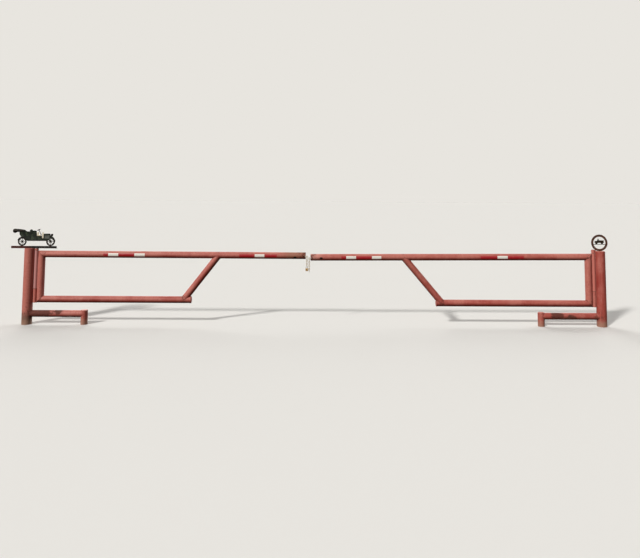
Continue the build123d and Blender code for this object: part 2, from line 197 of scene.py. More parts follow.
class CarSettings(bpy.types.PropertyGroup):
    """Trim of the old motor car on the left post."""

    green: colour("Body green", "Sound green paint", 26, 31, 25)
    light_green: colour("Panel green", "Paler green on the side panels", 66, 76, 58)
    black: colour("Black", "Tyres, guards and folded hood", 22, 17, 13)
    cream: colour("Cream", "Seat and windscreen frame", 242, 234, 212)
    slate: colour("Slate", "Grey bonnet side", 104, 108, 102)
    iron: colour("Iron", "Bare patches on the black", 50, 38, 29)
    tyre: length("Tyre width", "Width of the tyre in side view", 0.024)
    guard: length("Guard width", "Width of the mudguards across the car", 0.022)


class RingSettings(bpy.types.PropertyGroup):
    """Ring and farm truck on the right post."""

    outer_lip: length("Outer lip", "Radius of the rolled outer edge of the ring", 0.003)
    inner_lip: length("Inner lip", "Radius of the rolled inner edge of the ring", 0.0065)
    brown: colour("Ring brown", "Rusted brown of the ring", 76, 50, 40)
    worn_brown: colour("Worn brown", "Paler rust on the ring", 108, 76, 60)
    dark: colour("Truck black", "Black of the farm truck", 38, 30, 21)
    worn_dark: colour("Worn black", "Black that has turned brown", 68, 55, 41)
    stakes: count("Stakes", "Stakes along the side of the bed", 4, 2)


class StageSettings(bpy.types.PropertyGroup):
    """Floor, light and camera."""

    floor: colour("Floor", "Plain pale floor", 222, 222, 221)
    bounce: colour("Floor bounce", "What the floor sends back on the gate", 64, 50, 36)
    floor_size: length("Floor size", "Side of the square floor", 400.0)
    camera_x: length("Camera place", "Distance of the camera along the gate", 4.877)
    camera_reach: length("Camera reach", "Distance of the camera in front of the gate", 10.843)
    camera_height: length("Camera height", "Height of the camera above the ground", 2.239)
    lens: FloatProperty(name="Lens", description="Focal length", default=34.67, unit="CAMERA")
    yaw: angle("Yaw", "Turn of the camera to the right", 0.7)
    pitch: angle("Pitch", "Lift of the camera's line of sight", 4.636)
    roll: angle("Roll", "Roll of the camera", 0.397)
    shift: FloatProperty(name="Shift", description="Upright shift of the picture",
                         default=-0.2094)
    key: power("Key light", "Strength of the main light", 3.1)
    key_height: angle("Key height", "Height of the main light", 34)
    key_side: angle("Key side", "Turn of the main light to the left", 37)
    back: power("Back light", "Strength of the light from behind", 2.0)
    side: power("Side light", "Strength of the light from the right", 1.5)
    sky: power("Sky", "Strength of the light from all round", 0.07)


# Lines of the frame that the pieces follow

def middle(node):
    """Return the middle of a node's box."""
    low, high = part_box(node)
    return (low + high) / 2


def edge_x(node, way):
    """Return where a node ends along X, on its lower side where way is -1."""
    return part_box(node)[1 if way > 0 else 0].x


class Leaf:
    """Lines of one leaf's pipes and of its post, read from the frame."""

    def __init__(self, side, way):
        self.side = side
        self.way = way
        self.body = f"{side}_leaf"
        self.along = Vector((way, 0, 0))
        rail_low, rail_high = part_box(f"{side}_top_rail")
        stile_x = middle(f"{side}_stile").x
        foot_z = middle(f"{side}_bottom_rail").z
        self.hinge_x = middle(f"{side}_hinge_sleeve").x
        self.corner = Vector((stile_x, 0, rail_high.z - pipe_radius))
        self.tip = Vector((edge_x(f"{side}_top_rail", way), 0, rail_low.z + pipe_radius))
        self.rail_way = (self.tip - self.corner).normalized()
        self.foot = Vector((stile_x, 0, foot_z))
        self.rail_end = Vector((edge_x(f"{side}_bottom_rail_cap", -way), 0, foot_z))
        self.diagonal_foot = Vector((self.hinge_x + way * diagonal_feet[side], 0, foot_z))
        self.diagonal_head = self.on_rail(self.hinge_x + way * diagonal_heads[side])
        brace_z = middle(f"{side}_toe_brace").z
        stub_x = edge_x("toe_stubs", -way) + way * pipe_radius
        self.brace_foot = Vector((middle(f"{side}_post").x, 0, brace_z))
        self.brace_end = Vector((stub_x, 0, brace_z))

    def on_rail(self, x):
        """Return the point of the top rail's axis at x."""
        return self.corner + self.rail_way * ((x - self.corner.x) / self.rail_way.x)


left = Leaf("left", 1)
right = Leaf("right", -1)
leaves = (left, right)


# Modelling steps that the pieces share

seam_gap = 0.00001
slab_bevel = 0.0006
drum_face = 0.9    # least cosine between a drum's way and its far face


def start_fresh():
    """Deselect everything, so that the next primitive is alone."""
    bpy.ops.object.select_all(action="DESELECT")


def pick(pieces):
    """Select these pieces alone and make the first one active."""
    start_fresh()
    for piece in pieces:
        piece.select_set(True)
    bpy.context.view_layer.objects.active = pieces[0]


def settle():
    """Write the active piece's place, turn and scale into its mesh."""
    bpy.ops.object.transform_apply(location=True, rotation=True, scale=True)
    return bpy.context.object


def added(primitive, **settings):
    """Add a primitive by itself, with its place in its mesh."""
    start_fresh()
    primitive(**settings)
    return settle()


@contextmanager
def editing():
    """Shape the active piece in edit mode."""
    bpy.ops.object.mode_set(mode="EDIT")
    yield
    bpy.ops.object.mode_set(mode="OBJECT")


def choose(kind, test):
    """Select the vertices, edges or faces of the piece in edit mode that pass the test."""
    bpy.ops.mesh.select_mode(type=kind)
    bpy.ops.mesh.select_all(action="DESELECT")
    mesh = bpy.context.object.data
    shape = bmesh.from_edit_mesh(mesh)
    for item in {"VERT": shape.verts, "EDGE": shape.edges, "FACE": shape.faces}[kind]:
        item.select_set(test(item))
    shape.select_flush_mode()
    bmesh.update_edit_mesh(mesh)


def cut(point, normal):
    """Cut away what lies on the far side of a plane, in edit mode."""
    bpy.ops.mesh.select_all(action="SELECT")
    bpy.ops.mesh.bisect(plane_co=point, plane_no=normal, clear_outer=True, use_fill=False)


def inset(border, move):
    """Inset the chosen faces and move what lies inside the border, in edit mode."""
    bpy.ops.mesh.inset(thickness=border)
    bpy.ops.transform.translate(value=move)


def close_seams():
    """Merge doubled points and turn every face outwards, in edit mode."""
    bpy.ops.mesh.select_all(action="SELECT")
    bpy.ops.mesh.remove_doubles(threshold=seam_gap)
    bpy.ops.mesh.normals_make_consistent(inside=False)


def apply_modifier(piece, kind, **settings):
    """Add a modifier, set it and apply it."""
    pick([piece])
    modifier = piece.modifiers.new(kind.title(), kind)
    for key, value in settings.items():
        setattr(modifier, key, value)
    bpy.ops.object.modifier_apply(modifier=modifier.name)


def join(pieces):
    """Join pieces into the first one."""
    pick(pieces)
    if len(pieces) > 1:
        bpy.ops.object.join()
    return bpy.context.object


def copied(piece, move):
    """Copy a piece with a mesh of its own and move the copy."""
    pick([piece])
    bpy.ops.object.duplicate(linked=False)
    copy = bpy.context.object
    copy.matrix_world = move @ copy.matrix_world
    settle()
    return copy


def facing(way):
    """Return the turn that points a primitive's axis this way."""
    return way.to_track_quat("Z", "Y").to_euler()


def block(low, high, bevel):
    """Model a block with rounded edges between two corners."""
    piece = added(bpy.ops.mesh.primitive_cube_add, size=1, location=(low + high) / 2,
                  scale=high - low)
    with editing():
        bpy.ops.mesh.select_all(action="SELECT")
        bpy.ops.mesh.bevel(offset=bevel, segments=2, affect="EDGES")
    return piece


def slab(place, low, high, y, way, proud, bevel=slab_bevel):
    """Model a thin block that stands proud of one face of a plate."""
    near, far = sorted((y, y + way * proud))
    return block(place(*low, near), place(*high, far), bevel)


def drum(centre, way, radius, depth, rim, dish, steps=28):
    """Model a short drum whose far face has a rim round a dished middle."""
    piece = added(bpy.ops.mesh.primitive_cylinder_add, vertices=steps, radius=radius,
                  depth=depth, location=centre, rotation=facing(way))
    with editing():
        choose("FACE", lambda face: face.normal.dot(way) > drum_face)
        inset(rim, way * dish)
        inset((radius - rim) / 2, way * dish / 2)
    return piece


def hoop(centre, radius, wire, flatness, steps, wire_steps):
    """Model an upright ring of round wire, flattened across the gate."""
    ring = added(bpy.ops.mesh.primitive_torus_add, major_segments=steps,
                 minor_segments=wire_steps, major_radius=radius, minor_radius=wire,
                 rotation=(pi / 2, 0, 0))
    ring.scale = (1, flatness, 1)
    ring.location = centre
    return settle()


def both_faces(node, make):
    """Make pieces on the front of a plate and their twins on the back."""
    low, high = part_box(node)
    return make(low.y, -1) + make(high.y, 1)


def hand_over(piece, name, body, material, smooth=35):
    """Name a finished piece, give it its material and let it ride on its body."""
    pick([piece])
    settle()
    piece.name = name
    piece.data.name = name
    piece.data.materials.clear()
    piece.data.materials.append(material)
    bpy.ops.object.shade_smooth_by_angle(angle=radians(smooth))
    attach(piece, body)
    return piece


# Materials

# Sizes of the patterns in the finishes, in metres
cloud_size = 0.09
grit_size = 0.012
streak_size = 0.35
speckle_size = 0.022
chalk_size = 0.035
chip_size = 0.03
plate_cloud_size = 0.06
plate_grit_size = 0.006
bar_cloud_size = 0.05
metal_cloud_size = 0.02
metal_speck_size = 0.0025
brushed_size = 0.004
film_dirt_size = 0.05

# How the streaks are drawn out along one axis, and the depths below a pipe's skin between
# which its paint gives way to the rust of its bore
streak_scales = {"Z": (12, 12, 0.8), "X": (0.8, 12, 12)}
bore_depths = (0.0012, 0.0022)

# Heights of the relief that the finishes have, in metres
paint_relief = 0.0012
plate_relief = 0.0006
metal_relief = 0.0004
film_relief = 0.0003
brushed_relief = 0.0002


def feed(tree, socket, value):
    """Link an output to a socket, or set the socket's value."""
    if isinstance(value, bpy.types.NodeSocket):
        tree.links.new(value, socket)
    else:
        socket.default_value = value


def add_node(tree, kind, inputs=None, **settings):
    """Add a node, set its options and feed its inputs."""
    node = tree.nodes.new(kind)
    for key, value in settings.items():
        setattr(node, key, value)
    for key, value in (inputs or {}).items():
        feed(tree, node.inputs[key], value)
    return node


class Finish:
    """A procedural material, laid on in coats over its first tone."""

    def __init__(self, name, tone):
        self.material = bpy.data.materials.new(name)
        self.material.use_nodes = True
        self.tree = self.material.node_tree
        self.tone = tone
        self.place = self.add("ShaderNodeTexCoord").outputs["Object"]

    def add(self, kind, inputs=None, **settings):
        """Add a node to this material."""
        return add_node(self.tree, kind, inputs, **settings)

    def noise(self, size, detail=5.0, rough=0.55, scale=(1, 1, 1)):
        """Grey clouds about this size in metres, stretched along an axis by scale."""
        place = self.add("ShaderNodeMapping", {"Vector": self.place, "Scale": scale})
        node = self.add("ShaderNodeTexNoise", {
            "Vector": place.outputs["Vector"], "Scale": 1 / size, "Detail": detail,
            "Roughness": rough})
        return node.outputs["Fac"]

    def cells(self, size, feature="F1"):
        """Distance to the cells of a pattern about this size in metres."""
        node = self.add("ShaderNodeTexVoronoi", {"Vector": self.place, "Scale": 1 / size},
                        feature=feature)
        return node.outputs["Distance"]

    def ramp(self, value, low, high):
        """Raise a value from 0 at low to 1 at high, smoothly."""
        node = self.add("ShaderNodeMapRange", {
            "Value": value, "From Min": low, "From Max": high}, interpolation_type="SMOOTHSTEP")
        return node.outputs["Result"]

    def weighted(self, *parts, base=0.0):
        """Add values, each times its weight, to a base."""
        total = base
        for value, weight in parts:
            node = self.add("ShaderNodeMath", {0: value, 1: weight, 2: total},
                            operation="MULTIPLY_ADD")
            total = node.outputs["Value"]
        return total

    def mix(self, first, second, mask):
        """Turn one colour into another where the mask is 1."""
        node = self.add("ShaderNodeMix", {"Factor": mask, 6: first, 7: second},
                        data_type="RGBA")
        return node.outputs[2]

    def coat(self, colour, mask, strength=1.0):
        """Lay a colour over the finish where the mask is 1, at this strength."""
        if strength < 1.0:
            mask = self.weighted((mask, strength))
        self.tone = self.mix(self.tone, colour, mask)

    def axis(self, name):
        """Return the object coordinate along X, Y or Z."""
        return self.add("ShaderNodeSeparateXYZ", {"Vector": self.place}).outputs[name]

    def vector(self, operation, inputs, result="Vector"):
        """Work with vectors and return the vector or the value that comes of it."""
        node = self.add("ShaderNodeVectorMath", inputs, operation=operation)
        return node.outputs[result]

    def toward(self, way):
        """Return how far the surface faces this way, from -1 to 1."""
        normal = self.add("ShaderNodeTexCoord").outputs["Normal"]
        return self.vector("DOT_PRODUCT", {0: normal, 1: way}, "Value")

    def near(self, point, reach):
        """Fall from 1 at a point to 0 at this distance from it."""
        distance = self.vector("DISTANCE", {0: self.place, 1: point}, "Value")
        return self.ramp(distance, reach, 0.0)

    def from_line(self, point, way):
        """Return the distance from a straight line."""
        offset = self.vector("SUBTRACT", {0: self.place, 1: point})
        return self.vector("LENGTH", {0: self.vector("CROSS_PRODUCT", {0: offset, 1: way})},
                           "Value")

    def done(self, roughness, relief=None, **sockets):
        """Feed the shader and return the material.

        The relief is a value, its strength and its height in metres. Further sockets are
        named with underscores.
        """
        sockets.update(Base_Color=self.tone, Roughness=roughness)
        if relief:
            value, strength, height = relief
            node = self.add("ShaderNodeBump", {"Height": value, "Strength": strength,
                                               "Distance": height})
            sockets["Normal"] = node.outputs["Normal"]
        shader = self.tree.nodes["Principled BSDF"]
        for key, value in sockets.items():
            feed(self.tree, shader.inputs[key.replace("_", " ")], value)
        return self.material


def gate_paint(name, fade=0.0, rust=0.0, streak_axis="Z", stains=(), bore=None, dusty=True,
               tints=()):
    """Weathered red oxide paint.

    Fade and rust shift their shares up or down. Stains are points with a reach round which
    the paint has rusted. The bore is a point and a way along a pipe that is open to view.
    Tints are points with a reach and a colour that the paint turns to there.
    """
    settings = bpy.context.scene.gate_paint
    finish = Finish(name, settings.base)
    patches = finish.noise(settings.fade_size, 3.0)
    cloudy = finish.noise(cloud_size, 6.0, 0.62)
    fine = finish.noise(grit_size, 6.0, 0.7)
    streaks = finish.noise(streak_size, 4.0, 0.6, streak_scales[streak_axis])
    speckle = finish.noise(speckle_size, 4.0, 0.6)
    chalk = finish.noise(chalk_size, 5.0, 0.65, (1, 1, 0.5))

    # The fade is partly random bleached patches and partly painted light, paler where the surface
    # faces the key light
    bleach_and_painted_light = finish.weighted((patches, 0.9), (cloudy, 0.45),
                             (finish.toward(bleach_and_painted_light_side), 0.25))
    finish.coat(settings.deep, finish.ramp(streaks, 0.40, 0.68))
    finish.coat(settings.faded, finish.ramp(bleach_and_painted_light, 0.62 - fade, 1.04 - fade))
    finish.coat(settings.deep, finish.ramp(speckle, 0.50, 0.66), 0.35)
    finish.coat(settings.chalk, finish.ramp(chalk, 0.54, 0.70), 0.30)
    for point, reach, tint in tints:
        spread = finish.weighted((cloudy, 0.5), base=finish.near(point, reach))
        finish.coat(tint, finish.ramp(spread, 0.3, 0.9))
    # Painted shade: darker red on the undersides and on the side away from the key light, with some
    # grime
    painted_shade_mask = finish.ramp(finish.toward(painted_shade_side), -0.15, 0.55)
    finish.coat(settings.painted_shade_and_grime, painted_shade_mask, settings.painted_shade_and_grime_share)

    grit = finish.weighted((cloudy, 0.55), (fine, 0.5), (streaks, 0.12),
                           *[(finish.near(point, reach), 0.25) for point, reach in stains])
    edge = 0.98 - settings.rust_share * 0.5 - rust
    chips = finish.weighted((finish.ramp(finish.cells(chip_size), 0.13, 0.08),
                             finish.ramp(cloudy, 0.52, 0.6)))
    rusted = finish.add("ShaderNodeMath", {
        0: finish.ramp(grit, edge - 0.05, edge + 0.05), 1: finish.weighted((chips, 0.8))},
        operation="MAXIMUM").outputs["Value"]
    rust_tone = finish.mix(settings.rust, settings.light_rust, finish.ramp(fine, 0.35, 0.7))
    finish.coat(rust_tone, rusted)
    if dusty:
        height = finish.weighted((cloudy, -0.22), base=finish.axis("Z"))
        finish.coat(settings.dust, finish.ramp(height, 0.05, -0.10), 0.75)
    if bore:
        start, full = bore_depths
        finish.coat(settings.raw_rust, finish.ramp(finish.from_line(*bore), pipe_radius - start,
                                                   pipe_radius - full))
    height = finish.weighted((fine, 0.5), (rusted, 0.35))
    rough = finish.weighted((cloudy, 0.16), (rusted, 0.22), base=0.5)
    return finish.done(rough, (height, 0.35, paint_relief))


def bare_steel(name, base, dark, roughness, metallic=0.85, rusty=0.3):
    """Bare or galvanised metal, dulled and rusting in patches."""
    finish = Finish(name, base)
    finish.coat(dark, finish.ramp(finish.noise(metal_cloud_size, 6.0, 0.65), 0.3, 0.7))
    rusted = finish.ramp(finish.noise(grit_size, 6.0, 0.7), 0.72 - rusty * 0.4,
                         0.82 - rusty * 0.4)
    finish.coat(bpy.context.scene.gate_paint.rust, rusted)
    rough = finish.weighted((rusted, 0.35), base=roughness)
    metal = finish.weighted((rusted, -metallic), base=metallic)
    specks = finish.noise(metal_speck_size, 4.0, 0.6)
    return finish.done(rough, (specks, 0.25, metal_relief), Metallic=metal)


def plate_paint(name, base, worn, roughness=0.55, rust=0.3):
    """Paint on the ornament plates, faded, scratched and with a bloom of rust."""
    finish = Finish(name, base)
    clouds = finish.noise(plate_cloud_size, 6.0, 0.6)
    fine = finish.noise(plate_grit_size, 5.0, 0.7)
    finish.coat(worn, finish.ramp(clouds, 0.42, 0.7))
    grit = finish.weighted((clouds, 0.5), (fine, 0.5))
    rusted = finish.ramp(grit, 0.72 - rust * 0.3, 0.82 - rust * 0.3)
    finish.coat(bpy.context.scene.gate_paint.rust, rusted)
    rough = finish.weighted((rusted, 0.3), base=roughness)
    return finish.done(rough, (fine, 0.3, plate_relief), Specular_IOR_Level=0.2)


def bar_paint(name, black, red, change_x):
    """Paint of the car's bar, black at its free end and overspilled with red near the post."""
    finish = Finish(name, black)
    clouds = finish.noise(bar_cloud_size, 6.0, 0.6)
    fine = finish.noise(plate_grit_size, 5.0, 0.7)
    along = finish.weighted((clouds, 0.16), base=finish.axis("X"))
    finish.coat(red, finish.ramp(along, change_x + 0.12, change_x + 0.03))
    finish.coat(bpy.context.scene.gate_paint.rust, finish.ramp(clouds, 0.6, 0.72), 0.7)
    return finish.done(0.62, (fine, 0.3, plate_relief), Specular_IOR_Level=0.2)


def tape_film(name, base, lit_edge):
    """Reflective film with fine cells and darker cell edges, dulled by patches of dust."""
    finish = Finish(name, base)
    cells = finish.cells(bpy.context.scene.gate_tape.cell, "DISTANCE_TO_EDGE")
    clouds = finish.noise(film_dirt_size, 5.0, 0.6)
    finish.coat(lit_edge, finish.ramp(cells, 0.10, 0.02), 0.35)
    finish.coat(bpy.context.scene.gate_paint.dust, finish.ramp(clouds, 0.52, 0.8), 0.35)
    return finish.done(0.28, (cells, 0.15, film_relief), Coat_Weight=0.6, Coat_Roughness=0.12)


def brass(name):
    """Brushed brass, dulled by patches of tarnish."""
    settings = bpy.context.scene.gate_lock
    finish = Finish(name, settings.brass)
    brushed = finish.noise(brushed_size, 3.0, 0.6, (0.15, 1, 1))
    clouds = finish.noise(metal_cloud_size, 6.0, 0.6)
    finish.coat(settings.tarnish, finish.ramp(clouds, 0.4, 0.75))
    rough = finish.weighted((brushed, 0.25), base=0.3)
    return finish.done(rough, (brushed, 0.2, brushed_relief), Metallic=0.9)


# Weld beads

def square_end(spot, way):
    """Slide no point, where a bead runs round a pipe that is cut square."""
    return 0.0


def to_plane(point, normal):
    """Return how far a point slides along a pipe to a plane."""
    return lambda spot, way: (point - spot).dot(normal) / way.dot(normal)


def to_pipe(point, axis_way, radius):
    """Return how far a point slides along a pipe to the skin of another pipe."""
    def slide(spot, way):
        across = way - axis_way * way.dot(axis_way)
        offset = spot - point
        offset -= axis_way * offset.dot(axis_way)
        squared = across.dot(across)
        lead = offset.dot(across)
        beyond = offset.dot(offset) - radius ** 2
        return (-lead - sqrt(max(lead ** 2 - squared * beyond, 0))) / squared
    return slide


def rippled(radius):
    """Turn the active chain of edges into a bead that swells and dips."""
    settings = bpy.context.scene.gate_welds
    bpy.ops.object.convert(target="CURVE")
    line = bpy.context.object.data
    line.bevel_depth = radius
    line.bevel_resolution = 2
    line.use_fill_caps = True
    for index, point in enumerate(line.splines[0].points):
        point.radius = 1 - settings.ripple * (index % 2)
    bpy.ops.object.convert(target="MESH")
    return bpy.context.object


def weld_ring(spot, way, ring_radius, slide, bead_radius):
    """Lay a bead round the end of a pipe, where it meets other metal."""
    steps = 2 * round(2 * pi * ring_radius / bpy.context.scene.gate_welds.pitch)
    ring = added(bpy.ops.mesh.primitive_circle_add, vertices=steps, radius=ring_radius,
                 location=spot, rotation=facing(way))
    for vertex in ring.data.vertices:
        vertex.co += way * slide(vertex.co, way)
    return rippled(bead_radius)


def weld_seam(start, end, bead_radius):
    """Lay a straight bead."""
    run = end - start
    steps = max(2, 2 * round(run.length / bpy.context.scene.gate_welds.pitch))
    seam = added(bpy.ops.mesh.primitive_grid_add, x_subdivisions=1, y_subdivisions=steps,
                 size=run.length)
    with editing():
        choose("VERT", lambda vertex: vertex.co.x > 0)
        bpy.ops.mesh.delete(type="VERT")
        bpy.ops.mesh.select_all(action="SELECT")
        bpy.ops.transform.translate(value=(run.length / 2, 0, 0))
    turn = run.to_track_quat("Y", "Z").to_matrix().to_4x4()
    seam.matrix_world = Matrix.Translation((start + end) / 2) @ turn
    settle()
    return rippled(bead_radius)


def strip_seams(near_x, near_radius, far_x, far_radius, foot, head, bead_radius):
    """Lay the four upright beads of a strip between two upright pipes."""
    toward = 1 if far_x > near_x else -1
    seams = []
    for x, radius, way in ((near_x, near_radius, toward), (far_x, far_radius, -toward)):
        seam_x = x + way * sqrt(radius ** 2 - strip_half_width ** 2)
        for y in (-strip_half_width, strip_half_width):
            seams.append(weld_seam(Vector((seam_x, y, foot)), Vector((seam_x, y, head)),
                                   bead_radius))
    return seams


def leaf_welds(leaf):
    """Lay the beads of one leaf: two mitres, the diagonal's two saddles, cap and strip."""
    settings = bpy.context.scene.gate_welds
    reach = 2 * pipe_radius
    climb = (leaf.diagonal_head - leaf.diagonal_foot).normalized()
    centre = (leaf.diagonal_head + leaf.diagonal_foot) / 2
    rings = (
        (leaf.corner - up * reach, up, to_plane(leaf.corner, -up - leaf.rail_way)),
        (leaf.foot + up * reach, -up, to_plane(leaf.foot, up - leaf.along)),
        (centre, climb, to_pipe(leaf.corner, leaf.rail_way, pipe_radius)),
        (centre, -climb, to_pipe(leaf.foot, leaf.along, pipe_radius)),
    )
    beads = [weld_ring(spot, way, pipe_radius, slide, settings.bead)
             for spot, way, slide in rings]
    beads.append(weld_ring(leaf.rail_end, leaf.along, pipe_radius, square_end,
                           settings.small_bead))
    low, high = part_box(f"{leaf.side}_leaf_strip")
    return beads + strip_seams(leaf.hinge_x, hinge_radius, leaf.corner.x, pipe_radius, low.z,
                               high.z, settings.small_bead)


def post_welds(leaf):
    """Lay the beads of one post: cap, toe brace, stub cap, pin and the hinge strips."""
    settings = bpy.context.scene.gate_welds
    start = leaf.brace_foot
    end = leaf.brace_end
    half = (start + end) / 2
    post_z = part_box(f"{leaf.side}_post")[1].z
    foot_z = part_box(f"{leaf.side}_bottom_rail")[0].z
    hinge_z = post_z + hinge_top_rise[leaf.side]
    inset_by = cap_ledge + settings.lumps
    beads = [weld_ring(half, way, pipe_radius, slide, settings.bead) for way, slide in (
        (-leaf.along, to_pipe(start, up, post_radius)),
        (leaf.along, to_pipe(end, up, pipe_radius)))]
    beads += [weld_ring(Vector((x, 0, z)), up, radius, square_end, settings.small_bead)
              for x, z, radius in (
                  (start.x, post_z, post_radius - inset_by),
                  (end.x, end.z + pipe_radius, pipe_radius - inset_by),
                  (leaf.hinge_x, foot_z + pin_inset, pin_radius),
                  (leaf.hinge_x, hinge_z, pin_radius))]
    for foot, head in ((foot_z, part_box("lower_knuckles")[1].z),
                       (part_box("upper_knuckles")[0].z, hinge_z)):
        beads += strip_seams(start.x, post_radius, leaf.hinge_x, hinge_radius, foot, head,
                             settings.small_bead)
    return beads


class GATE_OT_add_welds(bpy.types.Operator):
    """Lay the rippled weld beads where pipes, caps and strips meet"""

    bl_idname = "gate.add_welds"
    bl_label = "Add Weld Beads"

    def execute(self, context):
        settings = context.scene.gate_welds
        lumps = bpy.data.textures.new("weld lumps", "CLOUDS")
        lumps.noise_scale = settings.pitch
        paint = gate_paint("weld paint", fade=-0.12, rust=0.20, dusty=False)
        groups = [(leaf_welds(leaf), f"{leaf.side}_leaf_welds", leaf.body) for leaf in leaves]
        groups.append((post_welds(left) + post_welds(right), "post_welds", "posts"))
        for beads, name, body in groups:
            welds = join(beads)
            apply_modifier(welds, "DISPLACE", texture=lumps, strength=settings.lumps,
                           texture_coords="GLOBAL")
            hand_over(welds, name, body, paint, 60)
        return {"FINISHED"}


# Reflective tape

# Where each length of tape starts and ends along the gate, from the left post's axis
tape_spans = {
    "left": {"red": ((1.286, 1.370), (1.543, 1.819), (3.628, 3.893), (4.060, 4.275)),
             "white": ((1.370, 1.543), (1.819, 1.998), (3.893, 4.060))},
    "right": {"red": ((5.392, 5.476), (5.647, 5.922), (7.810, 8.106), (8.284, 8.566)),
              "white": ((5.476, 5.647), (5.922, 6.085), (8.106, 8.284))},
}
tape_facets = 96
cell_edges = {"red": screen(120, 14, 22), "white": screen(226, 226, 224)}


def tape_piece(leaf, start_x, end_x):
    """Bend one length of tape round the front of the top rail."""
    settings = bpy.context.scene.gate_tape
    start = leaf.on_rail(start_x)
    end = leaf.on_rail(end_x)
    centre = (start + end) / 2
    across = leaf.rail_way.cross(front) * leaf.way
    half_height = pipe_radius * sin(settings.width / 2 / pipe_radius)
    tape = added(bpy.ops.mesh.primitive_cylinder_add, vertices=tape_facets,
                 radius=pipe_radius + settings.thickness, depth=(end - start).length,
                 end_fill_type="NOTHING", location=centre, rotation=facing(leaf.rail_way))
    with editing():
        cut(centre, -front)
        cut(centre + across * half_height, across)
        cut(centre - across * half_height, -across)
    apply_modifier(tape, "SOLIDIFY", thickness=settings.thickness, offset=-1.0)
    return tape


class GATE_OT_add_tape(bpy.types.Operator):
    """Stick the red and white lengths of reflective tape on the top rails"""

    bl_idname = "gate.add_tape"
    bl_label = "Add Reflective Tape"

    def execute(self, context):
        settings = context.scene.gate_tape
        films = {"red": tape_film("red tape film", settings.red, cell_edges["red"]),
                 "white": tape_film("white tape film", settings.white, cell_edges["white"])}
        for leaf in leaves:
            for tone, spans in tape_spans[leaf.side].items():
                pieces = [tape_piece(leaf, *span) for span in spans]
                hand_over(join(pieces), f"{leaf.side}_tape_{tone}", leaf.body, films[tone])
        return {"FINISHED"}


# Chain and padlock

link_steps = 24
wire_steps = 12


def make_link():
    """Model one welded link at the origin, long along X and flat in XY."""
    settings = bpy.context.scene.gate_chain
    bend = (settings.inner_width + settings.wire) / 2
    half_run = (settings.inner_length - settings.inner_width) / 2
    link = added(bpy.ops.mesh.primitive_torus_add, major_segments=link_steps,
                 minor_segments=wire_steps, major_radius=bend, minor_radius=settings.wire / 2,
                 rotation=(0, 0, pi / link_steps))
    with editing():
        for way in (1, -1):
            choose("VERT", lambda vertex: vertex.co.x * way > 0)
            bpy.ops.transform.translate(value=(way * half_run, 0, 0))
    return link


def chain_links(leaf, links):
    """Copy the link along one strand, inside the box of its node."""
    settings = bpy.context.scene.gate_chain
    node = f"{leaf.side}_chain"
    threaded_x = edge_x(node, -leaf.way) + leaf.way * (settings.inner_length / 2 + settings.wire)
    hang_x = threaded_x + leaf.way * (settings.inner_length + settings.wire) / 2
    y = middle(node).y
    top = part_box(node)[1].z - settings.wire
    threaded_z = top - (settings.wire + settings.slack) / 2
    link = make_link()
    across = Matrix.Rotation(pi / 2, 4, "Y")
    along = across @ Matrix.Rotation(pi / 2, 4, "X")
    strand = [copied(link, Matrix.Translation((threaded_x, y, threaded_z)))]
    for index in range(links):
        z = top - index * (settings.inner_length - settings.slack) - settings.inner_length / 2
        turn = across if index % 2 else along
        strand.append(copied(link, Matrix.Translation((hang_x, y, z)) @ turn))
    pick([link])
    bpy.ops.object.delete()
    return join(strand)


class GATE_OT_add_chains(bpy.types.Operator):
    """Hang the round-wire chain links on the free ends of the leaves"""

    bl_idname = "gate.add_chains"
    bl_label = "Add Chains"

    def execute(self, context):
        settings = context.scene.gate_chain
        zinc = bare_steel("zinc links", settings.zinc, settings.dull_zinc, 0.42, 0.75, 0.3)
        for leaf, links in ((left, settings.left_links), (right, settings.right_links)):
            strand = chain_links(leaf, links)
            hand_over(strand, f"{leaf.side}_chain_links", leaf.body, zinc,
                      60)
            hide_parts(f"{leaf.side}_chain")
        return {"FINISHED"}


# Details of the padlock, with lengths in metres
case_border = 0.0030
panel_border = 0.0035
panel_step = 0.0008
panel_depth = 0.0007
case_bevel = 0.0009
case_corner_steps = 5
upright_edge = 0.01    # least height of an upright edge
level_gap = 0.0001    # how near a level its faces lie
straight_out = 0.99    # least cosine of a face that looks straight out
collar_wire = 0.0009
collar_stand = 0.0012
bow_steps = 20
plug_rise = 0.0005
plug_depth = 0.002
plug_rim = 0.0012
plug_dish = -0.0004
keyway_drop = 0.0001
keyway_bevel = 0.0002
slit_half = Vector((0.0008, 0.0032, 0.0006))
slot_low = Vector((-0.0016, 0.0012, -0.0006))
slot_high = Vector((0.0016, 0.0028, 0.0006))
# Dark tones of the keyway's blocks: painted shade in place of the slot's depth
keyway_painted_shade = (screen(60, 50, 40), screen(30, 24, 20))
bow_steel = (screen(190, 186, 178), screen(140, 134, 126))


def make_case():
    """Model the case of the padlock, with rounded upright edges and a sunk panel each side."""
    low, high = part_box("padlock_body")
    case = added(bpy.ops.mesh.primitive_cube_add, size=1, location=(low + high) / 2,
                 scale=high - low)
    with editing():
        choose("EDGE", lambda edge: abs((edge.verts[0].co - edge.verts[1].co).z) > upright_edge)
        bpy.ops.mesh.bevel(offset=bpy.context.scene.gate_lock.corner,
                           segments=case_corner_steps, affect="EDGES")
        for z in (low.z, high.z):
            choose("FACE", lambda face: abs(face.calc_center_median().z - z) < level_gap)
            bpy.ops.mesh.inset(thickness=case_border)
        for way in (-1, 1):
            choose("FACE", lambda face: face.normal.y * way > straight_out)
            bpy.ops.mesh.inset(thickness=panel_border)
            inset(panel_step, (0, -way * panel_depth, 0))
    apply_modifier(case, "BEVEL", width=case_bevel, segments=2, limit_method="ANGLE")
    return case


def bow_legs():
    """Return the feet of the bow's two legs."""
    low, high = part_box("padlock_shackle")
    centre = (low + high) / 2
    half_span = bpy.context.scene.gate_lock.span / 2
    return [Vector((centre.x + way * half_span, centre.y, low.z)) for way in (-1, 1)]


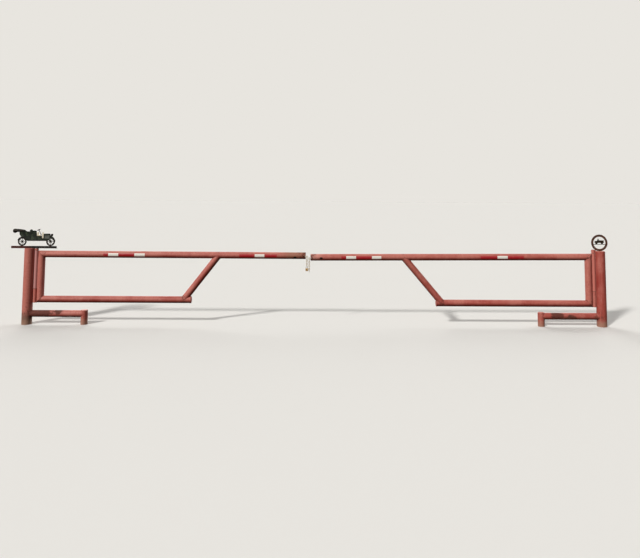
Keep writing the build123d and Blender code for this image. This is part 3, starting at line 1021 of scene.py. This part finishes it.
def make_bow():
    """Spin the wire of the bow over its half turn and draw the legs down from it."""
    settings = bpy.context.scene.gate_lock
    first, last = bow_legs()
    bend_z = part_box("padlock_shackle")[1].z - (settings.bow + settings.span) / 2
    bow = added(bpy.ops.mesh.primitive_circle_add, vertices=bow_steps, radius=settings.bow / 2,
                location=(first.x, first.y, bend_z), fill_type="NGON")
    with editing():
        bpy.ops.mesh.select_all(action="SELECT")
        bpy.ops.mesh.spin(steps=bow_steps, angle=pi, axis=(0, -1, 0),
                          center=((first.x + last.x) / 2, first.y, bend_z))
        choose("FACE", lambda face: len(face.verts) > 4)
        bpy.ops.mesh.extrude_region_move(
            TRANSFORM_OT_translate={"value": (0, 0, first.z - bend_z)})
        close_seams()
    return bow


def make_collar(leg, z):
    """Model the lip round a hole of the bow."""
    radius = bpy.context.scene.gate_lock.bow / 2 + collar_stand
    return added(bpy.ops.mesh.primitive_torus_add, major_segments=24, minor_segments=8,
                 major_radius=radius, minor_radius=collar_wire, location=(leg.x, leg.y, z))


class GATE_OT_fit_padlock(bpy.types.Operator):
    """Hang the brass padlock with its bow, plug and keyway on the left chain"""

    bl_idname = "gate.fit_padlock"
    bl_label = "Fit the Padlock"

    def execute(self, context):
        metal = brass("lock brass")
        low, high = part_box("padlock_body")
        foot = Vector((*((low + high) / 2).xy, low.z))
        case = join([make_case()] + [make_collar(leg, high.z) for leg in bow_legs()])
        hand_over(case, "padlock_case", "left_leaf", metal, 30)
        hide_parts("padlock_body")
        plug = drum(foot + up * plug_rise, -up, context.scene.gate_lock.plug, plug_depth,
                    plug_rim, plug_dish, 32)
        hand_over(plug, "padlock_plug", "left_leaf", metal, 30)
        # The keyway is not cut: two dark blocks at the plug's face are painted shade in place of
        # the slot
        face = foot - up * keyway_drop
        iron = bare_steel("keyway iron", *keyway_painted_shade, 0.6)
        keyway = join([block(face - slit_half, face + slit_half, keyway_bevel),
                       block(face + slot_low, face + slot_high, keyway_bevel)])
        hand_over(keyway, "padlock_keyway", "left_leaf", iron)
        steel = bare_steel("bow steel", *bow_steel, 0.25, 0.95, 0.0)
        bow = hand_over(make_bow(), "padlock_bow", "left_leaf", steel, 50)
        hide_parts("padlock_shackle")
        return {"FINISHED"}


# Trim of the motor car

# Sizes of the car's trim, with lengths in metres
wheel_radius = 0.075
tyre_flatness = 0.5
tyre_line = 0.0006
tyre_line_rise = 0.0008
tyre_wall = 0.3    # share of the tyre's half width that the line keeps to
hub_cap = (0.018, 0.006, 0.004, 0.003)    # radius, depth, rim and dome
guard_gap = 0.004
guard_plate = 0.003
guard_steps = 20
hood_radius = 0.013
hood_folds = 20
hood_fullness = (1.95, 0.95)    # times the radius at the rear, and its loss towards the front
hood_crease = 0.10    # share by which every second fold dips
hood_end = 0.6    # share of its size that a closed end keeps
hood_edge = 0.1    # least length of the roll's long edges before it is folded
hood_grip = 0.002    # how near a fold its points lie
hood_straps = ((0.30, 0.0225), (0.72, 0.0175))    # place along the roll and radius
hood_strap = (0.008, 0.002, -0.001)    # width, rim and dish
panel_proud = 0.002
panel_shape = (0.005, 0.010)    # border and corner radius
bonnet_proud = 0.003
bonnet_shape = (0.004, 0.006)
louvre_bevel = 0.001
panel_sink = 0.6    # share of a panel's thickness that its middle is sunk
board_width = 0.010
screen_post_proud = 0.004
edge_bevel = 0.0015
seat_half_width = 0.014
seat_bevel = 0.006
lamp = (0.016, 0.030, 0.0022, -0.002)    # radius, depth, rim and dish
steering_ring = (0.022, 0.0055)    # radius and wire
column = (0.005, 0.0008, 0.0006, 12)    # radius, rim, dome and steps
spoke_low = Vector((-0.0005, -0.020, -0.002))
spoke_high = Vector((0.0025, 0.020, 0.002))
spoke_bevel = 0.0008

# Places on the car, in millimetres from the rear wheel's hub
wheelbase = 488
hub_places = (0, wheelbase)
guard_arcs = ((0, 62, 164), (wheelbase, 2, 72))    # hub, then first and last angle in degrees
hood_ends = ((-152, 187), (44, 187))
panel_corners = (
    ((-32, 92), (-44, 158), (40, 166), (52, 84)),
    ((62, 74), (50, 166), (134, 166), (134, 34)),
    ((146, 34), (146, 172), (236, 172), (242, 34)),
    ((262, 34), (262, 88), (330, 88), (330, 34)),
)
bonnet_corners = ((384, 56), (384, 112), (468, 112), (468, 56))
louvre_places = [397 + 11 * step for step in range(6)]
louvre_width = 5
louvre_heights = (66, 100)
running_board = ((88, 12), (424, 20))
seat_back = ((254, 97), (280, 166))
seat_cushion = ((276, 97), (318, 116))
screen_post = ((342, 60), (368, 159))
lamp_place = (512, 118)
steering_head = (281, 203)
steering_foot = (326, 112)

worn_cream = screen(214, 198, 166)
worn_slate = screen(66, 68, 66)


def on_car(x, z, y=0.0):
    """Return a point from the rear wheel's hub, with x and z in millimetres and y as it is."""
    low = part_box("car_wheels")[0]
    return Vector((low.x + wheel_radius + x / 1000, y, low.z + wheel_radius + z / 1000))


def on_car_middle(place):
    """Return a point in the middle of the body's plate."""
    return on_car(*place, middle("car_body").y)


def raised_panel(corners, y, thickness, border, corner):
    """Model a flat panel on a plate, with rounded corners and a sunk middle."""
    panel = added(bpy.ops.mesh.primitive_plane_add, size=1)
    for index, place in zip((0, 1, 3, 2), corners):
        panel.data.vertices[index].co = on_car(*place, y)
    with editing():
        bpy.ops.mesh.select_all(action="SELECT")
        bpy.ops.mesh.bevel(offset=corner, segments=3, affect="VERTICES")
        bpy.ops.mesh.extrude_region_move(TRANSFORM_OT_translate={"value": (0, thickness, 0)})
        inset(border, (0, -thickness * panel_sink, 0))
        close_seams()
    return panel


def make_tyre(hub_x):
    """Model a tyre with a raised line round each wall."""
    half = bpy.context.scene.gate_car.tyre / 2
    centre = on_car(hub_x, 0, middle("car_wheels").y)
    tyre = hoop(centre, wheel_radius - half, half, tyre_flatness, 48, 12)

    def on_wall(face):
        reach = face.calc_center_median() - centre
        flat = sqrt(reach.x ** 2 + reach.z ** 2)
        return abs(flat - wheel_radius + half) < half * tyre_wall < abs(reach.y)

    with editing():
        choose("FACE", on_wall)
        bpy.ops.mesh.inset(thickness=tyre_line)
        bpy.ops.transform.shrink_fatten(value=tyre_line_rise)
    return tyre


def make_tyres():
    """Model both tyres."""
    return [make_tyre(hub) for hub in hub_places]


def make_hub_caps():
    """Model a domed cap on both faces of each wheel."""
    return [cap for hub in hub_places for cap in both_faces(
        "car_wheels", lambda y, way: [drum(on_car(hub, 0, y), Vector((0, way, 0)), *hub_cap)])]


def make_guard(hub_x, first, last):
    """Spin a mudguard over a wheel, from one angle to another above the road."""
    hub = on_car_middle((hub_x, 0))
    profile = added(bpy.ops.mesh.primitive_plane_add, size=1)
    profile.scale = (guard_plate, bpy.context.scene.gate_car.guard, 1)
    profile.location = hub + Vector((wheel_radius + guard_gap, 0, 0))
    settle()
    turn = Matrix.Translation(hub) @ Matrix.Rotation(-radians(first), 4, "Y")
    profile.data.transform(turn @ Matrix.Translation(-hub))
    with editing():
        bpy.ops.mesh.select_all(action="SELECT")
        bpy.ops.mesh.spin(steps=guard_steps, angle=radians(last - first), center=hub,
                          axis=(0, 1, 0))
        close_seams()
    return profile


def make_guards():
    """Model the mudguards over both wheels."""
    return [make_guard(*arc) for arc in guard_arcs]


def make_hood():
    """Model the folded hood as a tapering roll with creases, held by two straps."""
    start, end = [on_car_middle(place) for place in hood_ends]
    run = end - start
    way = run.normalized()
    full, taper = hood_fullness
    roll = added(bpy.ops.mesh.primitive_cylinder_add, vertices=20, radius=hood_radius,
                 depth=run.length, location=(start + end) / 2, rotation=facing(run))
    with editing():
        choose("EDGE", lambda edge: abs((edge.verts[0].co - edge.verts[1].co).dot(way)) > hood_edge)
        bpy.ops.mesh.subdivide(number_cuts=hood_folds - 1)
        for step in range(hood_folds + 1):
            along = run.length * step / hood_folds
            size = (full - taper * step / hood_folds) * (1 - hood_crease * (step % 2))
            if step in (0, hood_folds):
                size *= hood_end
            choose("VERT",
                   lambda vertex: abs((vertex.co - start).dot(way) - along) < hood_grip)
            bpy.ops.transform.resize(value=(1, size, size), center_override=start + way * along)
    return [roll] + [drum(start + run * part, way, radius, *hood_strap)
                     for part, radius in hood_straps]


def make_side_panels():
    """Model the sunk panels along both sides of the body."""
    return [panel for corners in panel_corners for panel in both_faces(
        "car_body", lambda y, way: [raised_panel(corners, y, way * panel_proud, *panel_shape)])]


def make_bonnet_sides():
    """Model the bonnet's sides with their louvres."""
    sides = both_faces("car_body", lambda y, way: [
        raised_panel(bonnet_corners, y, way * bonnet_proud, *bonnet_shape)])
    foot, head = louvre_heights
    for x in louvre_places:
        sides += both_faces("car_body", lambda y, way: [
            slab(on_car, (x, foot), (x + louvre_width, head), y, way, bonnet_proud,
                 louvre_bevel)])
    return sides


def make_running_boards():
    """Model the boards below the doors."""
    return both_faces("car_body", lambda y, way: [
        slab(on_car, *running_board, y, way, board_width, edge_bevel)])


def make_seat_and_screen():
    """Model the front seat and the posts of the windscreen."""
    half = Vector((0, seat_half_width, 0))
    seat = [block(on_car_middle(low) - half, on_car_middle(high) + half, seat_bevel)
            for low, high in (seat_back, seat_cushion)]
    return seat + both_faces("car_body", lambda y, way: [
        slab(on_car, *screen_post, y, way, screen_post_proud, edge_bevel)])


def make_lamp():
    """Model the headlamp as a drum that faces forward, with a rim and a sunk glass."""
    return [drum(on_car_middle(lamp_place), Vector((1, 0, 0)), *lamp)]


def make_steering():
    """Model the steering wheel with its spoke and its column."""
    head = on_car_middle(steering_head)
    foot = on_car_middle(steering_foot)
    run = head - foot
    radius, wire = steering_ring
    ring = added(bpy.ops.mesh.primitive_torus_add, major_segments=32, minor_segments=10,
                 major_radius=radius, minor_radius=wire, location=head, rotation=facing(run))
    column_radius, rim, dome, steps = column
    rod = drum((head + foot) / 2, run.normalized(), column_radius, run.length, rim, dome, steps)
    return [ring, rod, block(head + spoke_low, head + spoke_high, spoke_bevel)]


class GATE_OT_trim_car(bpy.types.Operator):
    """Add tyres, hubs, guards, hood, panels, seat, windscreen and lamp to the car"""

    bl_idname = "gate.trim_car"
    bl_label = "Trim the Car"

    def execute(self, context):
        settings = context.scene.gate_car
        black = plate_paint("car black", settings.black, settings.iron, 0.6, 0.1)
        green = plate_paint("panel green", settings.green, settings.light_green)
        cream = plate_paint("car cream", settings.cream, worn_cream, 0.5, 0.05)
        slate = plate_paint("bonnet slate", settings.slate, worn_slate, 0.5, 0.1)
        for make, name, material, slot, smooth in (
                (make_tyres, "car_tyres", black, "dark_iron", 35),
                (make_hub_caps, "car_hub_caps", black, "dark_iron", 35),
                (make_guards, "car_guards", black, "dark_iron", 35),
                (make_hood, "car_hood", black, "dark_iron", 50),
                (make_side_panels, "car_side_panels", green, "car_green", 35),
                (make_bonnet_sides, "car_bonnet_sides", slate, "car_green", 35),
                (make_running_boards, "car_running_boards", black, "dark_iron", 35),
                (make_seat_and_screen, "car_seat_and_screen", cream, None, 35),
                (make_lamp, "car_lamp", black, "dark_iron", 35),
                (make_steering, "car_steering", black, "dark_iron", 60)):
            hand_over(join(make()), name, "posts", material, smooth)
        return {"FINISHED"}


# Trim of the ring

truck_hub_reach = 0.049
truck_hub_height = -0.001
truck_wheel = 0.022
truck_tyre = (0.004, 0.003, 0.6)    # inset from the tread, wire and flatness
truck_hub = (0.007, 0.004, 0.0015, 0.001, 20)    # radius, depth, rim, dome and steps
truck_nose = -0.081
truck_screen = -0.037
truck_cab_back = -0.003
truck_tail = 0.081
truck_bed_top = 0.043
bed_rail_heights = (0.008, 0.022, 0.036)
bed_rail_width = 0.005
bed_inset = 0.003
bed_end = 0.001
bed_rail_proud = 0.0015
stake_width = 0.004
stake_proud = 0.0025
door_gap = 0.005
door_heights = (0.006, 0.038)
bumper_depth = 0.006
bumper_heights = (-0.002, 0.010)
front_proud = 0.0015
bonnet_louvres = 4
bonnet_louvre_start = 0.012
bonnet_louvre_pitch = 0.006
bonnet_louvre_width = 0.003
bonnet_louvre_heights = (0.024, 0.030)
bonnet_louvre_proud = 0.0012
bonnet_louvre_bevel = 0.0003
ring_width = 0.029
lip_depth = 0.0045
outer_lip_inset = 1.1    # times the lip's radius, from the band's edge


def on_ring(x, z, y=0.0):
    """Return a point from the middle of the ring, in metres."""
    centre = middle("ring_band")
    return Vector((centre.x + x, y, centre.z + z))


def truck_bed(y, way):
    """Model the rails and stakes along the side of the bed."""
    stakes = bpy.context.scene.gate_ring.stakes
    start = truck_cab_back + bed_inset
    rails = [slab(on_ring, (start, z), (truck_tail - bed_end, z + bed_rail_width), y, way,
                  bed_rail_proud) for z in bed_rail_heights]
    step = (truck_tail - start - bed_end - stake_width) / (stakes - 1)
    return rails + [slab(on_ring, (start + index * step, bed_inset),
                         (start + index * step + stake_width, truck_bed_top - bed_end), y, way,
                         stake_proud) for index in range(stakes)]


def truck_front(y, way):
    """Model the door, the bumper and the bonnet's louvres."""
    spans = ((truck_screen + door_gap, truck_cab_back - door_gap, door_heights),
             (truck_nose, truck_nose + bumper_depth, bumper_heights))
    pieces = [slab(on_ring, (start, foot), (end, head), y, way, front_proud)
              for start, end, (foot, head) in spans]
    foot, head = bonnet_louvre_heights
    for index in range(bonnet_louvres):
        x = truck_nose + bonnet_louvre_start + index * bonnet_louvre_pitch
        pieces.append(slab(on_ring, (x, foot), (x + bonnet_louvre_width, head), y, way,
                           bonnet_louvre_proud, bonnet_louvre_bevel))
    return pieces


def truck_wheels(y, way):
    """Model the tyres and hubs of the truck on one face."""
    sunk, wire, flatness = truck_tyre
    pieces = []
    for x in (-truck_hub_reach, truck_hub_reach):
        hub = on_ring(x, truck_hub_height, y)
        pieces += [hoop(hub, truck_wheel - sunk, wire, flatness, 32, 8),
                   drum(hub, Vector((0, way, 0)), *truck_hub)]
    return pieces


class GATE_OT_trim_ring(bpy.types.Operator):
    """Roll the ring's edges and add the bed, door, louvres, bumper and wheels of the truck"""

    bl_idname = "gate.trim_ring"
    bl_label = "Trim the Ring"

    def execute(self, context):
        settings = context.scene.gate_ring
        dark = plate_paint("truck trim", settings.dark, settings.worn_dark, 0.6, 0.2)
        for make, name in ((truck_bed, "truck_bed_sides"), (truck_front, "truck_doors"),
                           (truck_wheels, "truck_tyres")):
            hand_over(join(both_faces("ring_truck", make)), name, "posts", dark)
        low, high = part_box("ring_band")
        outer = (high.z - low.z) / 2
        brown = plate_paint("ring lips", settings.brown, settings.worn_brown, 0.6, 0.4)
        lips = [hoop(middle("ring_band"), radius, lip, lip_depth / lip, 96, 12)
                for radius, lip in (
                    (outer - settings.outer_lip * outer_lip_inset, settings.outer_lip),
                    (outer - ring_width - settings.inner_lip / 2, settings.inner_lip))]
        hand_over(join(lips), "ring_lips", "posts", brown, 60)
        return {"FINISHED"}


# Tack welds under the ornaments

tack_length = 0.024
bar_tack_places = (-0.05, 0.0, 0.05)
strip_tack_length = 0.010
strip_tack_bead = 0.002
tack_tones = (screen(74, 46, 36), screen(104, 66, 48))


def tacks(x, node, z):
    """Lay a short bead along the gate at each face of a node."""
    bead = bpy.context.scene.gate_welds.small_bead
    half = Vector((tack_length / 2, 0, 0))
    return [weld_seam(centre - half, centre + half, bead)
            for centre in [Vector((x, corner.y, z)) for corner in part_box(node)]]


class GATE_OT_tack_ornaments(bpy.types.Operator):
    """Lay the short beads that hold the ornaments on their caps"""

    bl_idname = "gate.tack_ornaments"
    bl_label = "Tack the Ornaments"

    def execute(self, context):
        bar_low, bar_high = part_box("car_base_bar")
        beads = []
        for x in bar_tack_places:
            beads += tacks(x, "car_base_bar", bar_low.z)
        for hub in hub_places:
            beads += tacks(on_car(hub, 0).x, "car_wheels", bar_high.z)
        beads += tacks(middle("ring_band").x, "ring_band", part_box("ring_band")[0].z)
        low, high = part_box("ring_truck")
        for x in (low.x, high.x):
            foot = Vector((x, low.y, low.z))
            beads.append(weld_seam(foot, foot + up * strip_tack_length, strip_tack_bead))
        paint = plate_paint("tack weld", *tack_tones, 0.7, 0.4)
        hand_over(join(beads), "ornament_tacks", "posts", paint, 60)
        return {"FINISHED"}


# Stage

# Height, turn from the front and softness of the lights
back_light = (radians(27), radians(-155), radians(50))
side_light = (radians(24), radians(130), radians(50))
key_softness = radians(6)
lamp_tint = (1.0, 0.97, 0.92)
paper_roughness = 0.9
sky_tint = screen(250, 250, 252)
room_tint = screen(232, 229, 223)


def add_sun(strength, height, turn, softness):
    """Add a soft light from a height and a turn from the front."""
    start_fresh()
    bpy.ops.object.light_add(type="SUN", rotation=(pi / 2 - height, 0, turn))
    light = bpy.context.object.data
    light.energy = strength
    light.angle = softness
    light.color = lamp_tint


def light_room(context):
    """Set the even light from all round and the pale room that the camera sees."""
    world = bpy.data.worlds.new("soft room")
    context.scene.world = world
    world.use_nodes = True
    tree = world.node_tree
    sky = tree.nodes["Background"]
    feed(tree, sky.inputs["Color"], sky_tint)
    feed(tree, sky.inputs["Strength"], context.scene.gate_stage.sky)
    room = add_node(tree, "ShaderNodeBackground", {"Color": room_tint})
    path = add_node(tree, "ShaderNodeLightPath")
    seen = add_node(tree, "ShaderNodeMath", {
        0: path.outputs["Is Camera Ray"], 1: path.outputs["Is Glossy Ray"]},
        operation="MAXIMUM")
    mixed = add_node(tree, "ShaderNodeMixShader", {
        "Fac": seen.outputs["Value"], 1: sky.outputs["Background"],
        2: room.outputs["Background"]})
    feed(tree, tree.nodes["World Output"].inputs["Surface"], mixed.outputs["Shader"])


class GATE_OT_set_stage(bpy.types.Operator):
    """Lay the pale floor and set the soft light and the camera"""

    bl_idname = "gate.set_stage"
    bl_label = "Set the Stage"

    def execute(self, context):
        settings = context.scene.gate_stage
        floor = added(bpy.ops.mesh.primitive_plane_add, size=settings.floor_size)
        floor.name = "stage_floor"
        paper = Finish("floor paper", settings.bounce)
        paper.coat(settings.floor, paper.add("ShaderNodeLightPath").outputs["Is Camera Ray"])
        floor.data.materials.append(paper.done(paper_roughness, Specular_IOR_Level=0.0))

        add_sun(settings.key, settings.key_height, -settings.key_side, key_softness)
        add_sun(settings.back, *back_light)
        add_sun(settings.side, *side_light)
        light_room(context)

        turn = Matrix.Rotation(-settings.yaw, 3, "Z")
        turn = turn @ Matrix.Rotation(pi / 2 + settings.pitch, 3, "X")
        turn = turn @ Matrix.Rotation(settings.roll, 3, "Z")
        place = (settings.camera_x, -settings.camera_reach, settings.camera_height)
        start_fresh()
        bpy.ops.object.camera_add(location=place, rotation=turn.to_euler())
        camera = bpy.context.object
        camera.data.lens = settings.lens
        camera.data.shift_y = settings.shift
        camera.data.clip_end = settings.floor_size
        context.scene.camera = camera
        context.scene.view_settings.view_transform = "Standard"
        return {"FINISHED"}


# Paint on the pipes and plates of the frame

# Rust patches along the toe braces: place along, height and reach, from the post's axis
brace_patches = {
    "left": ((0.12, 0.0, 0.16), (0.20, 0.0, 0.16), (0.28, 0.01, 0.15), (0.36, 0.0, 0.15),
             (0.50, 0.04, 0.12), (0.58, 0.05, 0.12), (0.10, -0.04, 0.16)),
    "right": ((0.86, 0.02, 0.12), (0.80, 0.01, 0.16), (0.74, 0.01, 0.13), (0.62, -0.03, 0.11),
              (0.54, -0.03, 0.12), (0.48, -0.03, 0.10), (0.12, 0.0, 0.11)),
}
brace_front = -0.03    # place of the patches across the gate

# What differs between the two sides: how far the post has faded, how far dust reaches up it,
# the reach and colour of the rail's tip, and the colour that the hinge pipe has turned
post_fades = {"left": 0.50, "right": -0.20}
foot_reach = {"left": 0.34, "right": 0.12}
tip_tints = {"left": (0.62, screen(156, 100, 80)), "right": (0.30, screen(206, 138, 126))}
hinge_tints = {"left": screen(196, 138, 134), "right": screen(200, 116, 104)}

# What both sides share: the colour of the dust and how far tints and rust reach
foot_tint = screen(124, 88, 74)
hinge_tint_reach = 6.0
saddle_reach = 0.16
corner_reach = 0.17
tip_reach = 0.34
brace_stain_reach = 0.25

hinge_steel = (screen(140, 120, 108), screen(84, 66, 56))
bar_red = screen(66, 22, 16)
bar_change_x = 0.0    # where the bar's black gives way to red
worn_green = screen(40, 48, 37)


def paint_nodes(material, *names):
    """Give nodes of the frame their material."""
    for name in names:
        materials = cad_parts[name].data.materials
        materials.clear()
        materials.append(material)


class GATE_OT_paint_steel(bpy.types.Operator):
    """Paint the posts, leaves, hinges and ornament plates"""

    bl_idname = "gate.paint_steel"
    bl_label = "Paint the Steel"

    def execute(self, context):
        for leaf in leaves:
            side = leaf.side
            saddle = (leaf.diagonal_head, saddle_reach)
            foot = (leaf.diagonal_foot, saddle_reach)
            corners = ((leaf.corner, corner_reach), (leaf.foot, corner_reach))
            rail_stains = (saddle, corners[0], (leaf.tip, tip_reach))
            rail = gate_paint(f"{side} top rail paint", 0.04, 0.0, "X", rail_stains,
                              (leaf.corner, leaf.rail_way), dusty=False,
                              tints=((leaf.tip, *tip_tints[side]),))
            low_rail = gate_paint(f"{side} bottom rail paint", -0.04, 0.01, "X",
                                  (foot, corners[1]), dusty=False)
            stile = gate_paint(f"{side} stile paint", 0.14, 0.0, "Z", corners, dusty=False)
            slant = gate_paint(f"{side} diagonal paint", -0.02, 0.0, "Z", (saddle, foot),
                               dusty=False)
            paint_nodes(rail, f"{side}_top_rail")
            paint_nodes(low_rail, f"{side}_bottom_rail", f"{side}_bottom_rail_cap")
            paint_nodes(stile, f"{side}_stile")
            paint_nodes(slant, f"{side}_diagonal")
            post_foot = Vector((leaf.brace_foot.x, 0, 0))
            post = gate_paint(f"{side} post paint", post_fades[side], 0.0, "Z",
                              ((leaf.brace_foot, brace_stain_reach),),
                              tints=((post_foot, foot_reach[side], foot_tint),))
            patches = [(leaf.brace_foot + Vector((leaf.way * x, brace_front, z)), reach)
                       for x, z, reach in brace_patches[side]]
            brace = gate_paint(f"{side} toe brace paint", -0.02, 0.03, "X", patches)
            paint_nodes(post, f"{side}_post")
            paint_nodes(brace, f"{side}_toe_brace")
            hinge_middle = Vector((leaf.hinge_x, 0, leaf.corner.z / 2))
            hinge = gate_paint(f"{side} hinge paint", 0.24, 0.02, "Z", dusty=False,
                               tints=((hinge_middle, hinge_tint_reach, hinge_tints[side]),))
            paint_nodes(hinge, f"{side}_hinge_sleeve", f"{side}_leaf_strip")
        fixed = gate_paint("hinge and cap paint", 0.10, 0.04, "Z", dusty=False)
        paint_nodes(fixed, "post_caps", "toe_stub_caps", "lower_knuckles", "upper_knuckles",
                    "post_strips")
        paint_nodes(gate_paint("toe stub paint", -0.02, 0.05, "Z"), "toe_stubs")
        worn = bare_steel("worn hinge steel", *hinge_steel, 0.45)
        paint_nodes(worn, "hinge_pins", "thrust_washers")
        car = context.scene.gate_car
        ring = context.scene.gate_ring
        bar = bar_paint("car bar paint", car.black, bar_red, bar_change_x)
        paint_nodes(bar, "car_base_bar")
        paint_nodes(plate_paint("wheel black", car.black, car.iron), "car_wheels")
        paint_nodes(plate_paint("car green", car.green, worn_green), "car_body")
        paint_nodes(plate_paint("truck black", ring.dark, ring.worn_dark), "ring_truck")
        paint_nodes(plate_paint("ring brown", ring.brown, ring.worn_brown, 0.6, 0.5),
                    "ring_band")
        return {"FINISHED"}


class GATE_PT_finishes(bpy.types.Panel):
    """Lists the steps that finish the gate"""

    bl_label = "Pipe Gate"
    bl_idname = "GATE_PT_finishes"
    bl_space_type = "VIEW_3D"
    bl_region_type = "UI"
    bl_category = "Pipe Gate"

    def draw(self, context):
        for step in steps:
            self.layout.operator(step.bl_idname)
        for group in setting_groups:
            box = self.layout.box()
            values = getattr(context.scene, group)
            for key in setting_groups[group].__annotations__:
                box.prop(values, key)


setting_groups = {
    "gate_paint": PaintSettings,
    "gate_welds": WeldSettings,
    "gate_tape": TapeSettings,
    "gate_chain": ChainSettings,
    "gate_lock": LockSettings,
    "gate_car": CarSettings,
    "gate_ring": RingSettings,
    "gate_stage": StageSettings,
}

steps = (GATE_OT_paint_steel, GATE_OT_add_welds, GATE_OT_add_tape, GATE_OT_add_chains,
         GATE_OT_fit_padlock, GATE_OT_trim_car, GATE_OT_trim_ring, GATE_OT_tack_ornaments,
         GATE_OT_set_stage)

classes = (*setting_groups.values(), *steps, GATE_PT_finishes)


def register():
    """Register the classes and hang the settings on the scene."""
    for kind in classes:
        bpy.utils.register_class(kind)
    for name, kind in setting_groups.items():
        setattr(bpy.types.Scene, name, PointerProperty(type=kind))


def unregister():
    """Take the settings and the classes away again."""
    for name in setting_groups:
        delattr(bpy.types.Scene, name)
    for kind in reversed(classes):
        bpy.utils.unregister_class(kind)


def main():
    """Finish the gate step by step."""
    register()
    bpy.ops.gate.paint_steel()
    bpy.ops.gate.add_welds()
    bpy.ops.gate.add_tape()
    bpy.ops.gate.add_chains()
    bpy.ops.gate.fit_padlock()
    bpy.ops.gate.trim_car()
    bpy.ops.gate.trim_ring()
    bpy.ops.gate.tack_ornaments()
    bpy.ops.gate.set_stage()


if __name__ == "__main__":
    main()
